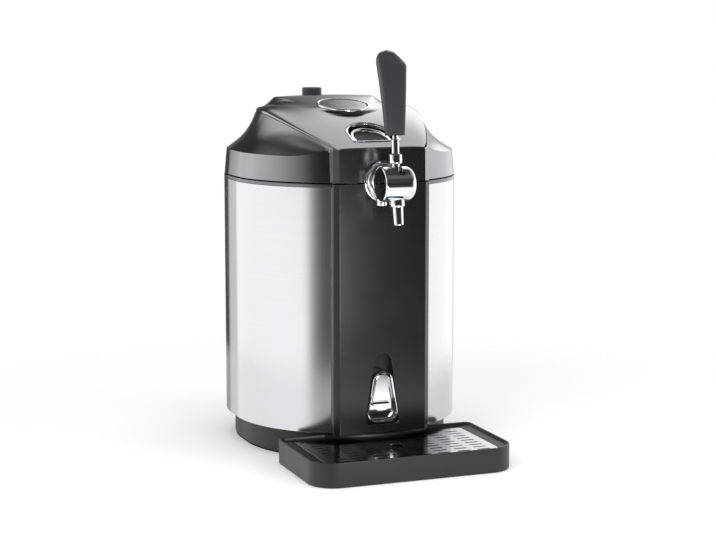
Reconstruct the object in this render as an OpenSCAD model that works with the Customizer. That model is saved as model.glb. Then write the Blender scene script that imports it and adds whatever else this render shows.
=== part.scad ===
// Beer dispenser for one five litre keg: a cooled oval housing with a hinged
// lid, a lever tap on the lid seam and a drip tray that slides out in front.
// Millimetres. The origin is on the floor under the middle of the oval housing,
// +Z is up and the tap faces -Y.

/* [Keg] */
// Diameter of the keg that the chamber takes
keg_d = 168; // [160:1:172]
// Height of the keg
keg_h = 250; // [235:1:252]
// Gap between the keg and the tub wall
keg_gap = 4; // [3:0.5:5]

/* [Housing] */
// Width of the oval housing over its steel skins
body_w = 265; // [262:1:275]
// Depth of the oval housing
body_d = 290; // [288:1:296]
// Height of the housing's seam with the lid
seam_z = 316; // [315:1:320]
// Height of the plinth
plinth_h = 31; // [28:1:34]
// How far the plinth stands in from the steel skin
plinth_inset = 10.5; // [8:0.5:14]
// Thickness of the steel skins
skin_t = 1; // [0.8:0.1:1.2]
// Thickness of the plastic housing walls
wall_t = 2.5; // [2:0.1:3]
// Height of the grey ring above the steel skins
ring_h = 4; // [3:0.5:5]
// Height that the rubber foot ring stands out of the plinth
foot_h = 1.5; // [1:0.5:3]

/* [Front panel] */
// Half width of the flat front panel
panel_half = 52; // [48:1:54]
// How far the flat panel lies behind the oval's front
panel_drop = 3; // [2:1:4]
// Width of the slanted edge beside the flat panel
facet_w = 6.5; // [6:0.5:8]
// Depth of the slanted edge
facet_d = 4.5; // [4:0.5:9]

/* [Bottle opener] */
// Height of the recess's lower edge above the floor
opener_z = 40; // [38:1:50]
// Height of the opener recess
opener_h = 82; // [76:1:90]
// Half width of the recess at its lower edge
opener_half = 20; // [18:1:22]
// Depth of the opener recess
opener_depth = 15; // [12:1:17]

/* [Lid] */
// Height of the lid collar at the sides
collar_h = 29; // [26:1:31]
// Drop of the cover's side seam below the top of the lid
shoulder_drop = 18.1; // [17.1:0.5:19.1]
// Half width of the cover at the housing's middle
cover_half = 95; // [92:1:97]
// Greatest height of the lid
lid_top_z = 405.6; // [404:0.1:409]

/* [Tap] */
// Distance of the tap barrel's middle from the front panel
tap_reach = 38; // [36:1:44]
// Height of the tap's centre
tap_z = 317.5; // [317:0.5:321]
// Diameter of the tap barrel
barrel_d = 39; // [36:1:40]
// Length of the tap barrel
barrel_l = 38; // [36:1:42]
// Diameter of the rosette on the front panel
rosette_d = 47; // [44:1:52]
// Height of the handle grip
grip_h = 94; // [84:1:98]
// Angle that the lever pulls forward
pour_angle = 40; // [20:1:42]
// Length of the spout tube
spout_l = 21; // [18:1:28]

/* [Drip tray] */
// Half width of the drip tray
tray_half = 119; // [112:1:122]
// Distance of the tray's front edge from the front panel
tray_reach = 108; // [98:1:120]
// Height of the drip tray
tray_h = 28; // [25:1:29]
// Radius of the tray's front corners
tray_corner = 30; // [24:1:36]
// Thickness of the tray wall
tray_t = 3; // [2.5:0.5:4]

/* [Fits] */
// Gap between pieces that are fixed to each other
fit_gap = 0.2; // [0.1:0.05:0.3]
// Gap between pieces that move past each other
move_gap = 0.5; // [0.4:0.1:0.8]
// Radial gap of pins and spindles in their bores
pin_gap = 0.05; // [0.03:0.01:0.08]

/* [Hidden] */
$fn = 64;
black = "#1b1b1c";
satin_black = "#2b2b2d";
steel = "#b9babb";
chrome = "#d9dadc";
grey = "#6a6b6d";
foam_white = "#e9e6dc";

// ---- Plan of the housing ----
body_r = body_w / 2;
oval_shift = (body_d - body_w) / 2;
panel_y = body_d / 2 - panel_drop;
tap_y = panel_y + tap_reach;
tray_front = panel_y + tray_reach;
side_steps = 30;
column_half = panel_half + facet_w;
column_back = panel_y - facet_d;
big = 600;

// Half angle at which the oval meets the front column
function column_angle(inset) = acos(column_half / (body_r - inset));

// A point of the oval, drawn in by inset, at an angle from the side towards the back
function oval_point(inset, a) = let (r = body_r - inset)
    [-r * cos(a), r * sin(a) + (a < 0 ? -oval_shift : oval_shift)];

// Points round the whole oval
oval_steps = 72;
function oval_outline(inset) = let (r = body_r - inset)
    [for (i = [0 : oval_steps - 1]) let (a = (i + 0.5) * 360 / oval_steps)
        [r * cos(a), r * sin(a) + (a < 180 ? oval_shift : -oval_shift)]];

module oval(inset = 0) {
    polygon(oval_outline(inset));
}

// Flat ended column that stands at the front (side -1) or the rear (side 1)
column_end = panel_y - 22;
module column_plan(face_y, inset = 0, back = column_end) {
    polygon([[-column_half + inset, -back], [-column_half + inset, -face_y + facet_d + inset / 2],
        [-panel_half + inset / 2, -face_y + inset], [panel_half - inset / 2, -face_y + inset],
        [column_half - inset, -face_y + facet_d + inset / 2], [column_half - inset, -back]]);
}

module at_z(z0, h) {
    translate([0, 0, z0]) linear_extrude(h) children();
}

// ---- Heights and inner sizes ----
skin_z0 = plinth_h + 0.5;
ring_z0 = seam_z - 1 - ring_h;
ring_z1 = seam_z - 1;
chassis_inset = skin_t + fit_gap;
tub_r = keg_d / 2 + keg_gap;
tub_t = 1.5;
tub_y = -8;
tub_z1 = seam_z - 17;
tub_floor_z = tub_z1 - keg_h;
rim_z1 = tub_z1 + 2.7;
rear_y = panel_y - 1;

module plinth() {
    floor_t = 3;
    color(black) difference() {
        at_z(foot_h, plinth_h - foot_h) oval(plinth_inset);
        at_z(foot_h - 1, plinth_h - foot_h - floor_t + 1) oval(plinth_inset + 4);
        for (p = screw_spots(base_screw_x, base_screw_y))
            translate([p[0], p[1], 0]) cylinder(r = screw_r + fit_gap, h = plinth_h + 1);
    }
}

screw_r = 2;
screw_head_r = 3.6;
screw_head_h = 2.2;
base_screw_x = 62;
base_screw_y = 88;
function screw_spots(x, y) = [for (sx = [-1, 1], sy = [-1, 1]) [sx * x, sy * y]];

module foot_ring() {
    color("#111111") at_z(0, foot_h) difference() {
        oval(plinth_inset + 0.6);
        oval(plinth_inset + 3.6);
    }
}

// Pan head screw with its head down and its tip up
module screw(length) {
    translate([0, 0, -screw_head_h]) cylinder(r = screw_head_r, h = screw_head_h);
    cylinder(r = screw_r, h = length);
}

module base_screws() {
    color(steel) for (p = screw_spots(base_screw_x, base_screw_y))
        translate([p[0], p[1], plinth_h - 3]) screw(3 + chassis_floor);
}

chassis_floor = 3;
module chassis() {
    inner = chassis_inset + wall_t;
    color(satin_black) difference() {
        difference() {
            at_z(plinth_h, ring_z0 - plinth_h) oval(chassis_inset);
            at_z(plinth_h + chassis_floor, big) oval(inner);
        }
        at_z(plinth_h + chassis_floor, big) square_half(column_half + fit_gap, -1);
        at_z(plinth_h + chassis_floor, big) square_half(column_half + fit_gap, 1);
        at_z(plinth_h - 1, big) flat_cut(panel_y - wall_t - fit_gap, -1);
        for (s = [-1, 1])
            translate([s * (column_half - wall_t / 2) - wall_t / 2 - fit_gap, -panel_y, plinth_h - 1])
            cube([wall_t + 2 * fit_gap, panel_y - column_end + fit_gap, chassis_floor + 2]);
        at_z(plinth_h - 1, big) flat_cut(rear_y - wall_t - fit_gap, 1);
        for (p = screw_spots(base_screw_x, base_screw_y))
            translate([p[0], p[1], 0]) cylinder(r = screw_r + fit_gap / 2, h = big);
    }
}

// Strip of the plan in front of (side -1) or behind (side 1) the middle
module square_half(half, side) {
    translate([-half, side < 0 ? -big : 0]) square([2 * half, big]);
}

// Everything past a flat face at distance y
module flat_cut(y, side) {
    translate([-big / 2, side < 0 ? -y - big : y]) square([big, big]);
}

module steel_skin(side) {
    color(steel) difference() {
        at_z(skin_z0, ring_z0 - skin_z0) oval(0);
        at_z(0, big) oval(skin_t);
        at_z(0, big) square_half(column_half + fit_gap, -1);
        at_z(0, big) square_half(column_half + fit_gap, 1);
        at_z(0, big) translate([side < 0 ? 0 : -big, -big / 2]) square([big, big]);
    }
}
module steel_skin_left() { steel_skin(-1); }
module steel_skin_right() { steel_skin(1); }

ring_w = 9;
module top_ring() {
    color(grey) difference() {
        at_z(ring_z0 + fit_gap / 2, ring_h - fit_gap / 2) oval(0);
        at_z(ring_z0 - 1, big) oval(ring_w);
        at_z(ring_z0 - 1, big) square_half(column_half + fit_gap, -1);
    }
}

// ---- Front panel and bottle opener ----
opener_top_half = 11;
module opener_outline(grow = 0) {
    corner = 5;
    hull() {
        for (sx = [-1, 1]) translate([sx * (opener_half - corner), corner])
            circle(r = corner + grow, $fn = 32);
        translate([0, opener_h - opener_top_half]) circle(r = opener_top_half + grow, $fn = 32);
    }
}

module on_front(depth) {
    translate([0, -panel_y + depth, opener_z]) rotate([90, 0, 0]) children();
}

shank_r = 10.5;
module front_panel() {
    color(satin_black) {
        difference() {
            at_z(plinth_h - 1, ring_z1 - plinth_h + 1) column_plan(panel_y);
            at_z(plinth_h - 2, big) column_plan(panel_y, wall_t, column_end - 4);
            on_front(wall_t + 1) linear_extrude(wall_t + 2) opener_outline();
            shank_slot(shank_r + fit_gap);
        }
        on_front(opener_depth) difference() {
            linear_extrude(opener_depth - wall_t) opener_outline(wall_t - 1);
            translate([0, 0, wall_t]) linear_extrude(opener_depth) opener_outline();
            opener_screw_holes(-1, wall_t + 2);
        }
    }
}

// Slot, open at the top, that the shank drops into
module shank_slot(r) {
    translate([0, -panel_y - 5, tap_z]) rotate([-90, 0, 0]) cylinder(r = r, h = 40);
    translate([-r, -panel_y - 5, tap_z]) cube([2 * r, 40, 40]);
}

opener_screw_z = [9, 51];
module opener_screw_holes(z0, h) {
    for (z = opener_screw_z) translate([0, z, z0]) cylinder(r = screw_r + fit_gap, h = h);
}

opener_piece_h = 50;
module bottle_opener() {
    base_t = 3;
    lip_z = 13;
    color(chrome) on_front(opener_depth - wall_t) difference() {
        union() {
            translate([0, 2, fit_gap]) linear_extrude(base_t) hull() {
                for (sx = [-1, 1]) translate([sx * (opener_half - 7), 4.5]) circle(r = 4, $fn = 32);
                translate([0, opener_piece_h]) circle(r = 9, $fn = 32);
            }
            // hood that hooks over the cap's edge
            translate([0, 0, fit_gap + base_t]) linear_extrude(7) difference() {
                hull() {
                    for (sx = [-1, 1]) translate([sx * (opener_half - 8), 27]) circle(r = 3.5, $fn = 32);
                    translate([0, opener_piece_h - 10]) circle(r = 6, $fn = 32);
                }
                translate([0, 17]) circle(r = 11.5);
            }
            // lower ledge that catches the cap
            translate([-opener_half + 7, 4, fit_gap + base_t]) cube([2 * (opener_half - 7), lip_z - 7, 5]);
        }
        opener_screw_holes(-1, base_t + 0.2);
    }
}

module opener_screws() {
    color(steel) for (z = opener_screw_z) on_front(opener_depth)
        translate([0, z, -0.05]) screw(wall_t + 1.9);
}

// ---- Rear ----
vent_rows = 14;
vent_pitch = 7;
vent_z = 96;
rear_screw_x = 50;
socket_z = 62;
module rear_cover() {
    color(satin_black) difference() {
        mirror([0, 1, 0]) difference() {
            at_z(plinth_h + chassis_floor + fit_gap, ring_z0 - plinth_h - chassis_floor - fit_gap)
                column_plan(rear_y);
            at_z(0, big) column_plan(rear_y, wall_t, column_end - 4);
        }
        for (i = [0 : vent_rows - 1]) translate([-38, rear_y - 6, vent_z + i * vent_pitch])
            cube([76, 12, 3]);
        translate([-socket_w / 2, rear_y - 6, socket_z - socket_h / 2]) cube([socket_w, 12, socket_h]);
        for (sx = [-1, 1], z = rear_screw_z) translate([sx * rear_screw_x, rear_y - 6, z])
            rotate([-90, 0, 0]) cylinder(r = screw_r + fit_gap, h = 12);
    }
}

rear_screw_z = [48, 284];
module rear_screws() {
    color(steel) for (sx = [-1, 1], z = rear_screw_z)
        translate([sx * rear_screw_x, rear_y + 0.05, z]) rotate([90, 0, 0]) screw(9);
}

socket_w = 28;
socket_h = 20.5;
module power_socket() {
    depth = 22;
    color(black) translate([0, rear_y - depth, socket_z]) difference() {
        union() {
            translate([-socket_w / 2 + fit_gap, 0, -socket_h / 2 + fit_gap])
                cube([socket_w - 2 * fit_gap, depth + 1.5, socket_h - 2 * fit_gap]);
            translate([-socket_w / 2 - 3, depth + 0.05, -socket_h / 2 - 3])
                cube([socket_w + 6, 1.5, socket_h + 6]);
        }
        translate([-11.5, 6, -7.5]) cube([23, depth, 15]);
    }
    color(steel) for (x = [-7, 0, 7]) translate([x - 1, rear_y - depth + 5, socket_z - (x == 0 ? -1 : 3)])
        cube([2, 12, 4]);
}

// ---- Cooling unit and keg chamber ----
cold_y = tub_y + tub_r + tub_t;
cool_z = 150;
cold_half = 30;
cold_t = 12;
peltier_t = 4;
sink_base = 4;
peltier_y = cold_y + cold_t;
sink_y = peltier_y + peltier_t;
fan_size = 80;
fan_t = 11;
sink_fin = rear_y - wall_t - fan_t - sink_y - sink_base - 6;
fan_y = sink_y + sink_base + sink_fin + fit_gap;
pocket_half = 46;
pocket_rise = 55;

module foam_jacket() {
    color(foam_white) difference() {
        at_z(plinth_h + chassis_floor + fit_gap, tub_z1 - 1.7 - plinth_h - chassis_floor - fit_gap)
            oval(chassis_inset + wall_t + fit_gap + 8);
        translate([0, tub_y, tub_floor_z - tub_t - fit_gap])
            cylinder(r = tub_r + tub_t + fit_gap, h = big, $fn = 96);
        translate([-pocket_half, cold_y - 14, cool_z - pocket_rise])
            cube([2 * pocket_half, big, 2 * pocket_rise]);
        translate([-column_half, rear_y - 40, 0]) cube([2 * column_half, big, big]);
        at_z(0, big) flat_cut(panel_y - opener_depth - wall_t, -1);
    }
}

module keg_tub() {
    color("#c9cacb") translate([0, tub_y, 0]) difference() {
        union() {
            translate([0, 0, tub_floor_z - tub_t])
                cylinder(r = tub_r + tub_t, h = tub_z1 - tub_floor_z + tub_t, $fn = 96);
            translate([0, 0, tub_z1 - tub_t]) cylinder(r = tub_r + 9, h = tub_t, $fn = 96);
        }
        translate([0, 0, tub_floor_z]) cylinder(r = tub_r, h = big, $fn = 96);
    }
}

module tub_rim() {
    color("#d8d8d6") difference() {
        at_z(tub_z1 + fit_gap, rim_z1 - tub_z1 - fit_gap)
            intersection() {
                oval(chassis_inset + wall_t + fit_gap);
                translate([-big / 2, -panel_y + wall_t + fit_gap])
                    square([big, panel_y + rear_y - 2 * wall_t - 2 * fit_gap]);
            }
        translate([0, tub_y, 0]) cylinder(r = tub_r, h = big, $fn = 96);
        at_z(0, big) for (side = [-1, 1]) translate([side * column_half - wall_t - 0.5, -panel_y])
            square([2 * wall_t + 1, panel_y - column_end + 5]);
        at_z(0, big) for (side = [-1, 1]) translate([side * column_half - wall_t - 0.5, column_end - 5])
            square([2 * wall_t + 1, 40]);
    }
}

module cold_plate() {
    color("#c9cacb") difference() {
        translate([-cold_half, cold_y - 4, cool_z - cold_half])
            cube([2 * cold_half, cold_t + 4, 2 * cold_half]);
        translate([0, tub_y, 0]) cylinder(r = tub_r + tub_t + fit_gap / 2, h = big, $fn = 96);
    }
}

module peltier_module() {
    color("#efefea") translate([-20, peltier_y + fit_gap / 4, cool_z - 20])
        cube([40, peltier_t - fit_gap / 2, 40]);
}

module heat_sink() {
    fins = 13;
    fin_t = 1.4;
    pitch = (fan_size - fin_t) / (fins - 1);
    color("#b5b6b8") {
        translate([-fan_size / 2, sink_y, cool_z - fan_size / 2]) cube([fan_size, sink_base, fan_size]);
        for (i = [0 : fins - 1])
            translate([-fan_size / 2 + i * pitch, sink_y + sink_base - 0.5, cool_z - fan_size / 2])
                cube([fin_t, sink_fin + 0.5, fan_size]);
    }
}

fan_bore_r = fan_size / 2 - 3;
hub_r = 15;
spindle_r = 1.5;
module fan_frame() {
    strut_t = 2;
    color(black) translate([0, fan_y, cool_z]) rotate([-90, 0, 0]) {
        difference() {
            translate([-fan_size / 2, -fan_size / 2, 0]) cube([fan_size, fan_size, fan_t]);
            translate([0, 0, -1]) cylinder(r = fan_bore_r, h = fan_t + 2);
        }
        difference() {
            union() {
                cylinder(r = hub_r, h = strut_t);
                for (a = [0 : 90 : 359]) rotate(a + 45) translate([0, -1.5, 0])
                    cube([fan_bore_r + 1, 3, strut_t]);
            }
            translate([0, 0, -1]) cylinder(r = spindle_r + pin_gap, h = strut_t + 2);
        }
    }
}

module fan_rotor() {
    blades = 7;
    color(satin_black) translate([0, fan_y, cool_z]) rotate([-90, 0, 0]) {
        translate([0, 0, 2 + move_gap]) cylinder(r = hub_r, h = fan_t - 2 - 2 * move_gap);
        translate([0, 0, 0.2]) cylinder(r = spindle_r, h = 3);
        for (i = [0 : blades - 1]) rotate(i * 360 / blades) translate([hub_r - 2, 0, 2 + fan_t / 2 - 1])
            rotate([28, 0, 0]) translate([0, -6, -0.7]) cube([fan_bore_r - hub_r + 0.5, 12, 1.4]);
    }
}

module control_board() {
    board_z = 222;
    color("#2f5d3a") translate([-38, rear_y - wall_t - 12, board_z]) cube([76, 1.6, 56]);
    color(satin_black) {
        for (sx = [-1, 1], dz = [6, 50]) translate([sx * 32, rear_y - wall_t - 10.5, board_z + dz])
            rotate([-90, 0, 0]) cylinder(d = 6, h = 10.5 - fit_gap);
        translate([-20, rear_y - wall_t - 28, board_z + 12]) cube([24, 16.2, 20]);
    }
}

// ---- Lid hinge ----
hinge_y = rear_y + 11;
hinge_r = 6;
hinge_pin_r = 2.5;
hinge_x = 52;
knuckle_half = 5.7;
bracket_t = 8;
module along_x(x0, x1, r) {
    translate([x0, 0, 0]) rotate([0, 90, 0]) cylinder(r = r, h = x1 - x0);
}

module hinge_brackets() {
    color(black) for (s = [-1, 1]) for (side = [-1, 1]) {
        x0 = s * hinge_x + (side < 0 ? -knuckle_half - 0.3 - bracket_t : knuckle_half + 0.3);
        difference() {
            union() {
                translate([x0, rear_y + fit_gap / 2, seam_z - 34]) cube([bracket_t, hinge_y - rear_y, 34]);
                translate([0, hinge_y, seam_z]) along_x(x0, x0 + bracket_t, hinge_r);
            }
            translate([0, hinge_y, seam_z]) along_x(x0 - 1, x0 + bracket_t + 1, hinge_pin_r);
        }
    }
}

module hinge_pins() {
    reach = knuckle_half + 0.3 + bracket_t;
    color(steel) for (s = [-1, 1]) translate([0, hinge_y, seam_z])
        along_x(s * hinge_x - reach, s * hinge_x + reach, hinge_pin_r);
}

arm_z = seam_z + 3.2;
arm_t = 4;
arm_y = rear_y - 45;
arm_screw_y = rear_y - 39;
module lid_hinge_arms() {
    color(black) for (s = [-1, 1]) difference() {
        union() {
            translate([s * hinge_x - knuckle_half, arm_y, arm_z])
                cube([2 * knuckle_half, hinge_y - arm_y, arm_t]);
            translate([0, hinge_y, seam_z])
                along_x(s * hinge_x - knuckle_half, s * hinge_x + knuckle_half, hinge_r);
        }
        translate([0, hinge_y, seam_z])
            along_x(s * hinge_x - knuckle_half - 1, s * hinge_x + knuckle_half + 1, hinge_pin_r + pin_gap);
        translate([s * hinge_x, arm_screw_y, 0]) cylinder(r = screw_r + fit_gap, h = big);
    }
}

module lid_screws() {
    color(steel) for (s = [-1, 1]) translate([s * hinge_x, arm_screw_y, seam_z + 0.95]) screw(arm_t + 2.5);
}

// ---- Tap ----
front_gap = 0.2;
rosette_t = 7;
module tap_axis(y) {
    translate([0, -y, tap_z]) rotate([90, 0, 0]) children();
}

module tap_rosette() {
    color(chrome) tap_axis(panel_y + front_gap) difference() {
        rotate_extrude() polygon([[0, 0], [rosette_d / 2, 0], [rosette_d / 2, 1.5], [rosette_d / 2 - 2, 3],
            [rosette_d / 2 - 4.5, 3], [rosette_d / 2 - 6.5, 5], [rosette_d / 2 - 8.5, 5],
            [rosette_d / 2 - 9.5, rosette_t], [0, rosette_t]]);
        translate([0, 0, -1]) cylinder(r = shank_neck_r + fit_gap / 2, h = rosette_t + 2);
    }
}

shank_neck_r = 9;
shank_bore_r = 3.5;
line_run = (tub_r + body_r) / 2 - 0.25;
shank_tail = panel_y - line_run - 8;
module tap_shank() {
    color(chrome) tap_axis(panel_y) difference() {
        union() {
            translate([0, 0, -shank_tail])
                cylinder(r = shank_neck_r, h = shank_tail + tap_y - panel_y - barrel_d / 2 + 3);
            translate([0, 0, rosette_t + 0.6]) cylinder(r = 12, h = 5);
        }
        translate([0, 0, -shank_tail - 1]) cylinder(r = shank_bore_r, h = big);
        barrel_void();
    }
}

// The barrel's outside, taken out of what butts on it
module barrel_void() {
    translate([0, 0, tap_y - panel_y]) rotate([0, 90, 0])
        cylinder(r = barrel_d / 2 + fit_gap / 4, h = barrel_l, center = true);
}

module shank_nut() {
    color(steel) tap_axis(panel_y - wall_t - 0.2) difference() {
        translate([0, 0, -6]) cylinder(r = 15, h = 6, $fn = 6);
        translate([0, 0, -7]) cylinder(r = shank_neck_r + fit_gap / 4, h = 8);
    }
}

plug_r = 13;
cap_r = barrel_d / 2 - 2;
module tap_barrel() {
    end_r = 9;
    color(chrome) translate([0, -tap_y, tap_z]) difference() {
        rotate([0, 90, 0]) rotate_extrude() polygon(concat([[0, -barrel_l / 2],
            [barrel_d / 2 - 1.5, -barrel_l / 2], [barrel_d / 2, -barrel_l / 2 + 1.5]],
            [for (a = [0 : 15 : 90])
                [barrel_d / 2 - end_r + end_r * cos(a), barrel_l / 2 - end_r + end_r * sin(a)]],
            [[0, barrel_l / 2]]));
        along_x(-barrel_l / 2 - 1, barrel_l / 2 - 4, plug_r + pin_gap);
        // way in from the shank and way out to the spout
        rotate([-90, 0, 0]) cylinder(r = shank_bore_r, h = barrel_d);
        translate([0, 0, -barrel_d]) cylinder(r = 4, h = barrel_d);
        // slot that the stem swings in
        stem_slot();
    }
}

stem_lean = -4;
stem_r = 4.35;
// Room for the stem from rest to the full pour, with a little to spare
module stem_slot() {
    half = stem_r + 0.45;
    spare = 20;
    a0 = 180 + stem_lean - spare;
    a1 = 180 + stem_lean + pour_angle + spare;
    rotate([0, 90, 0]) translate([0, 0, -half]) linear_extrude(2 * half)
        polygon(concat([[0, 0]], [for (i = [0 : 6]) let (a = a0 + i * (a1 - a0) / 6)
            [barrel_d * cos(a), barrel_d * sin(a)]]));
}

module barrel_cap() {
    color(chrome) translate([0, -tap_y, tap_z]) difference() {
        along_x(-barrel_l / 2 - 2, -barrel_l / 2 - 0.05, cap_r);
        along_x(-barrel_l / 2 - 3, -barrel_l / 2 - 1.2, cap_r - 5);
    }
}

spout_lean = 10;
spout_d = 11.5;
module tap_spout() {
    color(chrome) translate([0, -tap_y, tap_z]) rotate([-spout_lean, 0, 0]) difference() {
        union() {
            translate([0, 0, -barrel_d / 2 - 6]) cylinder(d = 16, h = 9);
            translate([0, 0, -barrel_d / 2 - 5 - spout_l])
                cylinder(d1 = spout_d - 1, d2 = spout_d + 1, h = spout_l);
        }
        translate([0, 0, -big / 2]) cylinder(r = 3.6, h = big);
        along_x(-barrel_l, barrel_l, barrel_d / 2 + 0.05);
    }
}

lug_x = -11;
lug_back = 15;
lug_drop = 5.5;
module vent_lug() {
    color(chrome) translate([lug_x, -tap_y + lug_back, tap_z]) difference() {
        translate([0, 0, -barrel_d / 2 - lug_drop]) cylinder(d = 12, h = lug_drop + 8);
        translate([0, -lug_back, 0]) along_x(-barrel_l, barrel_l, barrel_d / 2 + 0.05);
    }
}

seal_w = 2.5;
module tap_plug() {
    color("#c9b36a") translate([0, -tap_y, tap_z]) difference() {
        along_x(-barrel_l / 2 + 0.5, barrel_l / 2 - 5, plug_r);
        for (s = [-1, 1]) difference() {
            along_x(s * 9.5 - seal_w / 2 - 2, s * 9.5 + seal_w / 2 - 2, plug_r + 1);
            along_x(-barrel_l, barrel_l, plug_r - 1.6);
        }
        // beer way, which lines up only when the lever is pulled
        rotate([pour_angle, 0, 0]) translate([0, 0, -barrel_d]) cylinder(r = 3.2, h = barrel_d);
        rotate([pour_angle, 0, 0]) rotate([-90, 0, 0]) cylinder(r = 3.2, h = barrel_d);
        rotate([stem_lean, 0, 0]) translate([0, 0, plug_r - 7]) cylinder(r = 3, h = 20);
    }
}

module plug_seals() {
    color("#161616") translate([0, -tap_y, tap_z]) for (s = [-1, 1]) difference() {
        along_x(s * 9.5 - seal_w / 2 - 1.9, s * 9.5 + seal_w / 2 - 2.1, plug_r - 0.05);
        along_x(-barrel_l, barrel_l, plug_r - 1.55);
    }
}

stem_top = 53;
module lever_stem() {
    color(chrome) translate([0, -tap_y, tap_z]) rotate([stem_lean, 0, 0]) {
        translate([0, 0, plug_r - 6.9]) cylinder(r = 2.95, h = 14);
        translate([0, 0, plug_r + 0.1]) cylinder(r = stem_r, h = stem_top - plug_r - 4);
        translate([0, 0, barrel_d / 2 + 2.6]) rotate_extrude() polygon([[0, 0], [5.6, 0], [7.3, 1.5],
            [7.3, 9.5], [6.3, 11], [0, 11]]);
        translate([0, 0, stem_top - 4]) cylinder(r = 2.9, h = 14);
    }
}

// Cross section of the grip at a share s of its height: half width, half depth, shift back
grip_foot = 11;
grip_flare = 6.8;
grip_crown = 0.85;
crown_dip = 14;
dip_start = 0.7;
function crown_share(s) = max(0, s - grip_crown) / (1 - grip_crown);
function grip_half_w(s) = grip_foot + grip_flare * pow(s, 1.1) - 8 * pow(crown_share(s), 2.2);
function grip_half_d(s) = 5.6 + 3.2 * s - 3.4 * pow(crown_share(s), 2);
function grip_back(s) = 8 * s * s;
grip_levels = 15;
grip_sides = 28;
grip_power = 3;
function round_power(v) = sign(v) * pow(abs(v), 2 / grip_power);
function grip_ring(s) = [for (i = [0 : grip_sides - 1]) let (a = (i + 0.5) * 360 / grip_sides)
    [grip_half_w(s) * round_power(cos(a)), grip_back(s) + grip_half_d(s) * round_power(sin(a)),
     s * grip_h - crown_dip * pow(max(0, s - dip_start) / (1 - dip_start), 2) * max(0, round_power(-sin(a)))]];

module handle_grip() {
    color(satin_black)
        translate([0, -tap_y, tap_z]) rotate([stem_lean, 0, 0]) translate([0, 0, stem_top + 0.1]) difference() {
            loft([for (i = [0 : grip_levels]) grip_ring(pow(i / grip_levels, 0.8))]);
            translate([0, 0, -1]) cylinder(r = 3, h = 12);
        }
}

// Solid through a list of rings with equal numbers of points, closed at both ends
module loft(rings) {
    n = len(rings[0]);
    m = len(rings);
    polyhedron(points = [for (ring = rings, p = ring) p],
        faces = concat([[for (i = [0 : n - 1]) i]],
            [for (k = [0 : m - 2], i = [0 : n - 1]) [k * n + i, (k + 1) * n + i, (k + 1) * n + (i + 1) % n]],
            [for (k = [0 : m - 2], i = [0 : n - 1])
                [k * n + i, (k + 1) * n + (i + 1) % n, k * n + (i + 1) % n]],
            [[for (i = [n - 1 : -1 : 0]) (m - 1) * n + i]]));
}

// ---- Beer line round the rim of the chamber ----
line_r = 4;
line_z = rim_z1 + line_r + 0.3;
module line_elbow() {
    run = panel_y - shank_tail - line_run;
    color("#d0d0d0") {
        translate([0, -line_run - run + 0.1, tap_z]) rotate([-90, 0, 0]) cylinder(r = 5, h = run);
        translate([0, -line_run, rim_z1 + fit_gap]) cylinder(r = 5.6, h = tap_z - rim_z1 + 6);
        translate([0, -line_run, line_z]) along_x(-9, 0, 3);
    }
}

module beer_line() {
    color("#e6e6e2") translate([0, 0, line_z]) difference() {
        rotate([0, 0, 176]) rotate_extrude(angle = 86) translate([line_run, 0]) circle(r = line_r, $fn = 24);
        rotate([0, 0, 175]) rotate_extrude(angle = 88) translate([line_run, 0]) circle(r = 2.6, $fn = 24);
    }
}

module keg_coupler() {
    color(black) translate([-line_run, 0, rim_z1 + 0.1]) {
        translate([0, 18, 0]) difference() {
            cylinder(d = 20, h = 11.5);
            translate([0, 0, 4]) cylinder(d = 8, h = 10);
        }
        translate([0, 8, line_z - rim_z1]) rotate([-90, 0, 0]) cylinder(r = line_r, h = 4);
    }
}

// ---- Lid surfaces ----
lid_z0 = seam_z;
collar_taper = 2.5;
seam_front = panel_y - 1;
seam_drop = 35;
seam_back = body_d / 2 - 17;
lid_wall = 2.6;
hump_front = 49;
hump_rear = 116;
shoulder_levels = 7;

// Half width and height of the seam between the shoulders and the cover
function seam_half(y) = y < 0 ? cover_half - (cover_half - panel_half - 1) * pow(-y / seam_front, 1.6)
    : cover_half * sqrt(max(0, 1 - pow(y / seam_back, 2)));
shoulder_z = lid_top_z - shoulder_drop;
function seam_height(y) = y < 0 ? shoulder_z - seam_drop * pow(min(1, -y / seam_front), 1.35)
    : shoulder_z - 6 * pow(y / seam_back, 2);

// Height of the cover without its raised island
function crown(y) = y < 26 ? 2.2 + 10.3 * pow(max(0, (y + seam_front) / (seam_front + 26)), 1.2)
    : 12.5 * sqrt(max(0, 1 - pow((y - 26) / 104, 2)));
function cover_height(x, y) = let (w = max(1, seam_half(y)))
    seam_height(y) + crown(y) * pow(max(0, 1 - pow(min(1, abs(x) / w), 4)), 0.4);

// Raised island: half widths at its foot and at its top edge, and its height
function foot_half(y) = y < 26 ? 10 * sqrt(max(0, y + hump_front))
    : 86.6 * sqrt(max(0, 1 - pow((y - 26) / (hump_rear - 26), 2)));
function top_half(y) = y < -15 ? sqrt(max(0, 33 * 33 - pow(y + 15, 2)))
    : y < 45 ? 33 + 0.48 * (y + 15) : 61.8 * sqrt(max(0, 1 - pow((y - 45) / 67, 2)));
function hump_height(y) = y < 50 ? lid_top_z - 14.1 * pow((50 - y) / 96, 1.45)
    : lid_top_z - 6.6 * pow((y - 50) / 62, 2);

function lid_height(x, y) = let (wt = top_half(y), wf = foot_half(y), ax = abs(x))
    (y < -46.5 || y > 112.2 || ax >= wf) ? cover_height(x, y)
    : ax <= wt ? hump_height(y) - 1.5 * pow(ax / max(1, wt), 2)
    : let (s = (ax - wt) / (wf - wt), edge = hump_height(y) - 1.5)
        edge + (cover_height(wf, y) - edge) * sin(90 * s);

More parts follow.
